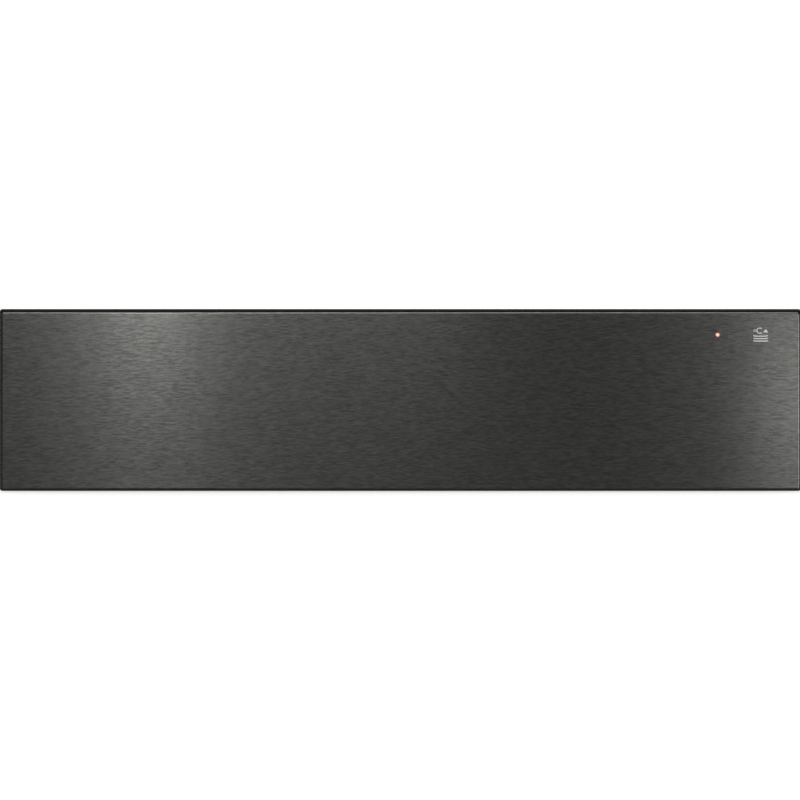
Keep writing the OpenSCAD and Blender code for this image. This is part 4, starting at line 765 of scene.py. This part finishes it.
# ---- dial round the knob -----------------------------------------------------------------
# Pad-printed in white on the recess floor: 0 for off and heat settings 1 to 4 over three
# quarters of a turn, with a tick at each and a shorter one half way between them.
DIAL_TURN = 270
DIAL_STEPS = 8
TICK_RADIUS = 15.6 * MM
TICK_LENGTHS = (1.4 * MM, 0.8 * MM)        # at a setting, and half way between two
TICK_WIDTH = 0.3 * MM
FIGURE_RADIUS = 18.1 * MM
FIGURE_HEIGHT = 2.3 * MM
RECESS_DEPTH = 21 * MM

recess_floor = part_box("control_bezel")[0][1] + RECESS_DEPTH
dial_ink = printed_ink("white_pad_print", "#bdbdb9", "#d2d2ce")
dial_marks = []
for step in range(DIAL_STEPS + 1):
    angle = math.radians(DIAL_TURN * step / DIAL_STEPS)
    out = Vector((math.sin(angle), 0, math.cos(angle)))
    seat = Vector((knob_x, recess_floor - PRINT_LIFT, knob_z))
    tick = bowed_line(seat + out * TICK_RADIUS, TICK_LENGTHS[step % 2], TICK_WIDTH, 0)
    tick.rotation_euler = (math.radians(90), math.radians(-90) + angle, 0)
    dial_marks.append(tick)
    if step % 2 == 0:
        dial_marks.append(lettering(str(step // 2), FIGURE_HEIGHT, seat + out * FIGURE_RADIUS))
printed(dial_marks, "dial_print", dial_ink, "housing")

# ---- rocker switch -----------------------------------------------------------------------
# A snap-in switch in black nylon with a polished paddle, marked I and O in white, and two
# brass tabs for the wires behind.
MARK_HEIGHT = 3 * MM
MARK_UP = 4 * MM               # above and below the paddle's axis
PADDLE_FACE = 3.4 * MM         # from the axis out to the middle of the paddle's face
PADDLE_RISE = 0.8 * MM         # that its ends stand higher than the middle
PADDLE_REACH = 7.4 * MM        # from the middle to an end
PADDLE_TILT = 8                # degrees at rest, switched off
AXIS_BEHIND = 1 * MM           # behind the recess floor
AXIS_BELOW = 0.3 * MM          # below the middle of the tilted paddle
SWITCH_TABS = 8.9 * MM
NYLON_FLOW = 1.2 * MM


def moulded_nylon(name, colour, roughness):
    """Moulded nylon or acetal: a satin skin with a very slight flow mottle."""
    material, shader = surface(name, colour, roughness)
    place = node(material, "ShaderNodeTexCoord").outputs["Object"]
    flow = node(material, "ShaderNodeTexNoise", {"Vector": place, "Scale": 1 / NYLON_FLOW,
                                                 "Detail": 3.0}).outputs["Fac"]
    node(material, "ShaderNodeMapRange", {
        "Value": flow, "To Min": roughness * 0.85, "To Max": roughness * 1.15},
        shader.inputs["Roughness"])
    node(material, "ShaderNodeBump", {"Height": flow, "Strength": 0.1, "Distance": 0.05 * MM},
         shader.inputs["Normal"])
    return material


black_nylon = moulded_nylon("black_nylon", "#141414", 0.4)
brass = clouded_metal("tinned_brass", "#b79a58", "#d8c083")
switch = finished("switch_body", 0.2 * MM, black_nylon)
switch_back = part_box("switch_body")[1][1]
recolour(switch, brass, lambda centre, normal: centre.y > switch_back - SWITCH_TABS)
finished("rocker_paddle", 0.3 * MM, moulded_nylon("polished_black_nylon", "#101010", 0.12))

rocker_low, rocker_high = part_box("rocker_paddle")
axis_y = recess_floor + AXIS_BEHIND
axis_z = (rocker_low[2] + rocker_high[2]) / 2 - AXIS_BELOW
face_slope = math.degrees(math.atan(PADDLE_RISE / PADDLE_REACH))
mark_y = -(PADDLE_FACE + PADDLE_RISE * MARK_UP / PADDLE_REACH + PRINT_LIFT)
sine, cosine = math.sin(math.radians(PADDLE_TILT)), math.cos(math.radians(PADDLE_TILT))
switch_marks = []
for words, up in (("I", 1), ("O", -1)):
    place = (knob_x, axis_y + mark_y * cosine + up * MARK_UP * sine,
             axis_z - mark_y * sine + up * MARK_UP * cosine)
    switch_marks.append(lettering(words, MARK_HEIGHT, place, up * face_slope - PADDLE_TILT))
printed(switch_marks, "rocker_marks", dial_ink, "rocker")

# ---- thermostat --------------------------------------------------------------------------
# A capillary thermostat: plated steel case, steel spindle, and a copper tube that leads to
# the bulb in the warm air. Two brass tabs take its wires.
COPPER_STAIN = 8 * MM
PUSH_ON_TABS = 6.9 * MM


def drawn_copper():
    """Bare copper: warm and bright, with brown stains where hands have been."""
    material, shader = surface("drawn_copper", "#c98a63", 0.3, 1.0)
    place = node(material, "ShaderNodeTexCoord").outputs["Object"]
    stain = node(material, "ShaderNodeTexNoise", {"Vector": place, "Scale": 1 / COPPER_STAIN,
                                                  "Detail": 4.0}).outputs["Fac"]
    node(material, "ShaderNodeValToRGB", {"Fac": stain}, shader.inputs["Base Color"],
         ((0.35, "#9a5f42"), (0.6, "#d69a72")))
    return material


thermostat = finished("thermostat_body", 0.4 * MM, clear_zinc)
thermostat_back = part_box("thermostat_body")[1][1]
recolour(thermostat, brass, lambda centre, normal: centre.y > thermostat_back - PUSH_ON_TABS)
finished("thermostat_shaft", 0.3 * MM, clear_zinc)
paint(drawn_copper(), "thermostat_capillary")

# ---- indicator lamp ----------------------------------------------------------------------
# A small light-emitting diode behind the frame, clear orange epoxy with two tinned legs. It
# faces the light guide when the drawer is shut, and glows most at its front.
LAMP_BODY = 9.4 * MM
GLOW_DEPTH = 7 * MM
GLOW_FRONT = 1.6
GLOW_BACK = 0.2

lamp_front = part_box("indicator_lamp")[0][1]
epoxy, epoxy_shader = surface("orange_epoxy", "#e8743c", 0.12, Transmission_Weight=0.35)
glow_place = node(epoxy, "ShaderNodeTexCoord").outputs["Object"]
glow_depth = node(epoxy, "ShaderNodeSeparateXYZ", {"Vector": glow_place}).outputs["Y"]
node(epoxy, "ShaderNodeMapRange", {
    "Value": glow_depth, "From Min": lamp_front, "From Max": lamp_front + GLOW_DEPTH,
    "To Min": GLOW_FRONT, "To Max": GLOW_BACK}, epoxy_shader.inputs["Emission Strength"])
epoxy_shader.inputs["Emission Color"].default_value = linear("#ff8a4a")
lamp = finished("indicator_lamp", 0.05 * MM, epoxy)
recolour(lamp, clear_zinc, lambda centre, normal: centre.y > lamp_front + LAMP_BODY)

# ---- ring heater -------------------------------------------------------------------------
# A steel-sheathed element bent to a ring in the air chamber. Use has tinted it straw, brown
# and blue; its two legs end in brass studs.
TINT = 26 * MM
STUD_LENGTH = 7 * MM


def heat_tinted_steel():
    """Steel that has glowed: thin oxide colours over a satin sheath."""
    material, shader = surface("heat_tinted_steel", "#7b6f66", 0.36, 1.0)
    place = node(material, "ShaderNodeTexCoord").outputs["Object"]
    heat = node(material, "ShaderNodeTexNoise", {"Vector": place, "Scale": 1 / TINT,
                                                 "Detail": 3.0}).outputs["Fac"]
    node(material, "ShaderNodeValToRGB", {"Fac": heat}, shader.inputs["Base Color"],
         ((0.3, "#a08a63"), (0.5, "#7a5a4c"), (0.7, "#565f74")))
    return material


heater_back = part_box("heating_ring")[1][1]
heater = finished("heating_ring", 0.1 * MM, heat_tinted_steel())
recolour(heater, brass, lambda centre, normal: centre.y > heater_back - STUD_LENGTH)

# ---- fan and motor -----------------------------------------------------------------------
# A pressed aluminium wheel on the steel spindle of a shaded-pole motor: a stack of lacquered
# steel laminations with one copper coil on a nylon bobbin, between two zinc bearing brackets.
LAMINATION = 2.0 * MM          # 0.5 mm sheets, drawn coarser so that they show
WINDING_PITCH = 1.2 * MM       # 0.3 mm wire, drawn coarser too
WAVE_PERIOD = 0.314            # period of the wave pattern at scale 1
BOBBIN_FLANGE = 2.6 * MM
ROTOR_OVERHANG = 0.1 * MM      # that the rotor stands out of the stack at each end


def striped(name, dark, light, roughness, metallic, pitch, direction):
    """Fine ridges across one direction: edges of sheets in a stack, or turns of wire."""
    material, shader = surface(name, light, roughness, metallic)
    place = node(material, "ShaderNodeTexCoord").outputs["Object"]
    ridges = node(material, "ShaderNodeTexWave", {
        "Vector": place, "Scale": WAVE_PERIOD / pitch},
        bands_direction=direction).outputs["Fac"]
    node(material, "ShaderNodeValToRGB", {"Fac": ridges}, shader.inputs["Base Color"],
         ((0, dark), (0.5, light)))
    node(material, "ShaderNodeBump", {"Height": ridges, "Strength": 0.5,
                                      "Distance": 0.15 * MM}, shader.inputs["Normal"])
    return material


finished("fan_wheel", 0.1 * MM, clouded_metal("pressed_aluminium", "#b5b7b8", "#cdcfd0"))
spindle = finished("fan_spindle", 0.2 * MM, clear_zinc)
stack_low, stack_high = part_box("motor_stack")
laminations = striped("lacquered_laminations", "#2f3234", "#6c7073", 0.45, 0.8,
                      LAMINATION, "Y")
recolour(spindle, laminations, lambda centre, normal:
         stack_low[1] - ROTOR_OVERHANG < centre.y < stack_high[1] + ROTOR_OVERHANG)
finished("motor_stack", 0.15 * MM, laminations)
coil_low, coil_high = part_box("motor_coil")
winding = striped("enamelled_copper_wire", "#6d3617", "#c0703c", 0.3, 0.9, WINDING_PITCH, "Z")
coil = finished("motor_coil", 0.5 * MM, winding)
recolour(coil, moulded_nylon("white_nylon", "#d8d6cc", 0.45), lambda centre, normal:
         not coil_low[2] + BOBBIN_FLANGE < centre.z < coil_high[2] - BOBBIN_FLANGE)
finished("motor_brackets", 0.3 * MM, galvanised)

# ---- safety cut-out ----------------------------------------------------------------------
# A bimetal disc in a ceramic cup, held on the air chamber by its plated flange, with two
# brass tabs. It opens if the fan stops.
CUTOUT_FLANGE = 0.85 * MM

cutout_low, cutout_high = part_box("safety_cutout")
cutout = finished("safety_cutout", 0.25 * MM, matt_skin("cream_ceramic", "#ddd3b8"))
recolour(cutout, clear_zinc, lambda centre, normal: centre.y < cutout_low[1] + CUTOUT_FLANGE)
recolour(cutout, brass, lambda centre, normal: centre.y > cutout_high[1] - PUSH_ON_TABS)

# ---- mains terminals and gland -----------------------------------------------------------
# A white nylon terminal block with three slotted brass screws, behind a black nylon gland
# whose nut holds it in the inlet pocket.
TERMINAL_SPACING = 12 * MM
WELL_FLOOR = 8 * MM            # above the block's foot
SCREW_RADIUS = 2.5 * MM
SCREW_HEIGHT = 4 * MM
SLOT_HALF = 0.4 * MM
SLOT_DEPTH = 1.2 * MM

finished("terminal_block", 0.3 * MM, moulded_nylon("natural_nylon", "#e2dfd3", 0.45))
finished("cable_gland", 0.4 * MM, black_nylon)
block_low, block_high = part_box("terminal_block")
block_x = (block_low[0] + block_high[0]) / 2
block_y = (block_low[1] + block_high[1]) / 2
screw_foot = block_low[2] + WELL_FLOOR
for number in range(3):
    screw_x = block_x + (number - 1) * TERMINAL_SPACING
    screw = round_bar("terminal_screw_%d" % (number + 1), 32, SCREW_RADIUS,
                      (screw_x, block_y, screw_foot),
                      (screw_x, block_y, screw_foot + SCREW_HEIGHT), "Z")
    for side in (-1, 1):
        bpy.ops.object.mode_set(mode="EDIT")
        bpy.ops.mesh.select_all(action="SELECT")
        bpy.ops.mesh.bisect(plane_co=(screw_x + side * SLOT_HALF, 0, 0), plane_no=(1, 0, 0))
        bpy.ops.object.mode_set(mode="OBJECT")
    select_faces(screw, lambda centre, normal: normal.z > 0.9
                 and abs(centre.x - screw_x) < SLOT_HALF)
    bpy.ops.object.mode_set(mode="EDIT")
    bpy.ops.mesh.select_mode(type="FACE")
    bpy.ops.mesh.extrude_region_move(TRANSFORM_OT_translate={"value": (0, 0, -SLOT_DEPTH)})
    bpy.ops.object.mode_set(mode="OBJECT")
    smooth(screw, 30)
    screw.data.materials.append(brass)
    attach(screw, "housing")

# ---- wiring ------------------------------------------------------------------------------
# Heat-proof silicone sleeves: brown from the mains to switch and thermostat, white to the
# heater, grey to the motor and orange to the lamp. Nylon ties hold the long run on the base.
SLEEVE_COLOURS = (("brown_sleeve", "#5a3524"), ("white_sleeve", "#d9d6cc"),
                  ("grey_sleeve", "#6f7478"), ("orange_sleeve", "#c9683a"))
HEATER_LEAD_LEFT = 40 * MM     # the heater's lead comes further left than this,
MOTOR_LEAD_LEFT = 100 * MM     # the motor's further than this,
LAMP_LEAD_BACK = -150 * MM     # and the lamp's stays in front of this
LAMP_LEAD_FOOT = 80 * MM       # and above this
TIE_PLACES = (-130 * MM, -58 * MM, 14 * MM, 86 * MM, 158 * MM)
TIE_RUN = (260.4 * MM, 9.8 * MM)
TIE_RADIUS = 2.35 * MM
TIE_GAUGE = 0.5 * MM
TIE_WIDTH = 2.5 * MM
HEAD_HALF = 1.6 * MM
HEAD_MARGIN = 0.4 * MM         # that the head is wider than the band at each side
HEAD_FOOT = 2.2 * MM           # foot and top are above the middle of the run
HEAD_TOP = 4.8 * MM

brown, white, grey, orange = (matt_skin(*colour) for colour in SLEEVE_COLOURS)
loom = finished("wiring_loom", 0.02 * MM, brown)
for material in (white, grey, orange):
    loom.data.materials.append(material)
links = list(range(len(loom.data.vertices)))


def lead_of(point):
    """The lowest-numbered point of the wire that a point belongs to."""
    while links[point] != point:
        links[point] = links[links[point]]
        point = links[point]
    return point


for edge in loom.data.edges:
    first, second = sorted(lead_of(v) for v in edge.vertices)
    links[second] = first
reach = {}
for point in loom.data.vertices:
    low, high = reach.setdefault(lead_of(point.index), [Vector(point.co), Vector(point.co)])
    for axis in range(3):
        low[axis] = min(low[axis], point.co[axis])
        high[axis] = max(high[axis], point.co[axis])
for face in loom.data.polygons:
    low, high = reach[lead_of(face.vertices[0])]
    if low.x < HEATER_LEAD_LEFT:
        face.material_index = 1
    elif low.x < MOTOR_LEAD_LEFT:
        face.material_index = 2
    elif high.y < LAMP_LEAD_BACK and low.z > LAMP_LEAD_FOOT:
        face.material_index = 3

ties = []
for y in TIE_PLACES:
    band = round_bar("band", 24, TIE_RADIUS, (TIE_RUN[0], y, TIE_RUN[1]),
                     (TIE_RUN[0], y + TIE_WIDTH, TIE_RUN[1]))
    select_faces(band, lambda centre, normal: abs(normal.y) > 0.9)
    bpy.ops.object.mode_set(mode="EDIT")
    bpy.ops.mesh.delete(type="ONLY_FACE")
    bpy.ops.object.mode_set(mode="OBJECT")
    modify(band, "SOLIDIFY", thickness=TIE_GAUGE, offset=1)
    head = block("head",
                 (TIE_RUN[0] - HEAD_HALF, y - HEAD_MARGIN, TIE_RUN[1] + HEAD_FOOT),
                 (TIE_RUN[0] + HEAD_HALF, y + TIE_WIDTH + HEAD_MARGIN, TIE_RUN[1] + HEAD_TOP),
                 0.3 * MM)
    ties += [band, head]
ties = join(ties, "cable_ties")
smooth(ties, 30)
ties.data.materials.append(moulded_nylon("tie_nylon", "#e4e2da", 0.4))
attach(ties, "housing")

# ---- push latches ------------------------------------------------------------------------
# White acetal bodies screwed to the bulkhead, black plungers with a magnet at the tip, and
# the springs that push the drawer out when its front is pressed.
MAGNET_LENGTH = 2.9 * MM

finished("latch_bodies", 0.4 * MM, moulded_nylon("white_acetal", "#dddcd6", 0.35))
plungers = finished("latch_plungers", 0.3 * MM, black_nylon)
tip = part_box("latch_plungers")[0][1]
recolour(plungers, clear_zinc, lambda centre, normal: centre.y < tip + MAGNET_LENGTH)
springs = rounded("latch_springs", 0.02 * MM,
                  clouded_metal("spring_steel_wire", "#6e7173", "#a2a5a7"))
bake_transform(springs)
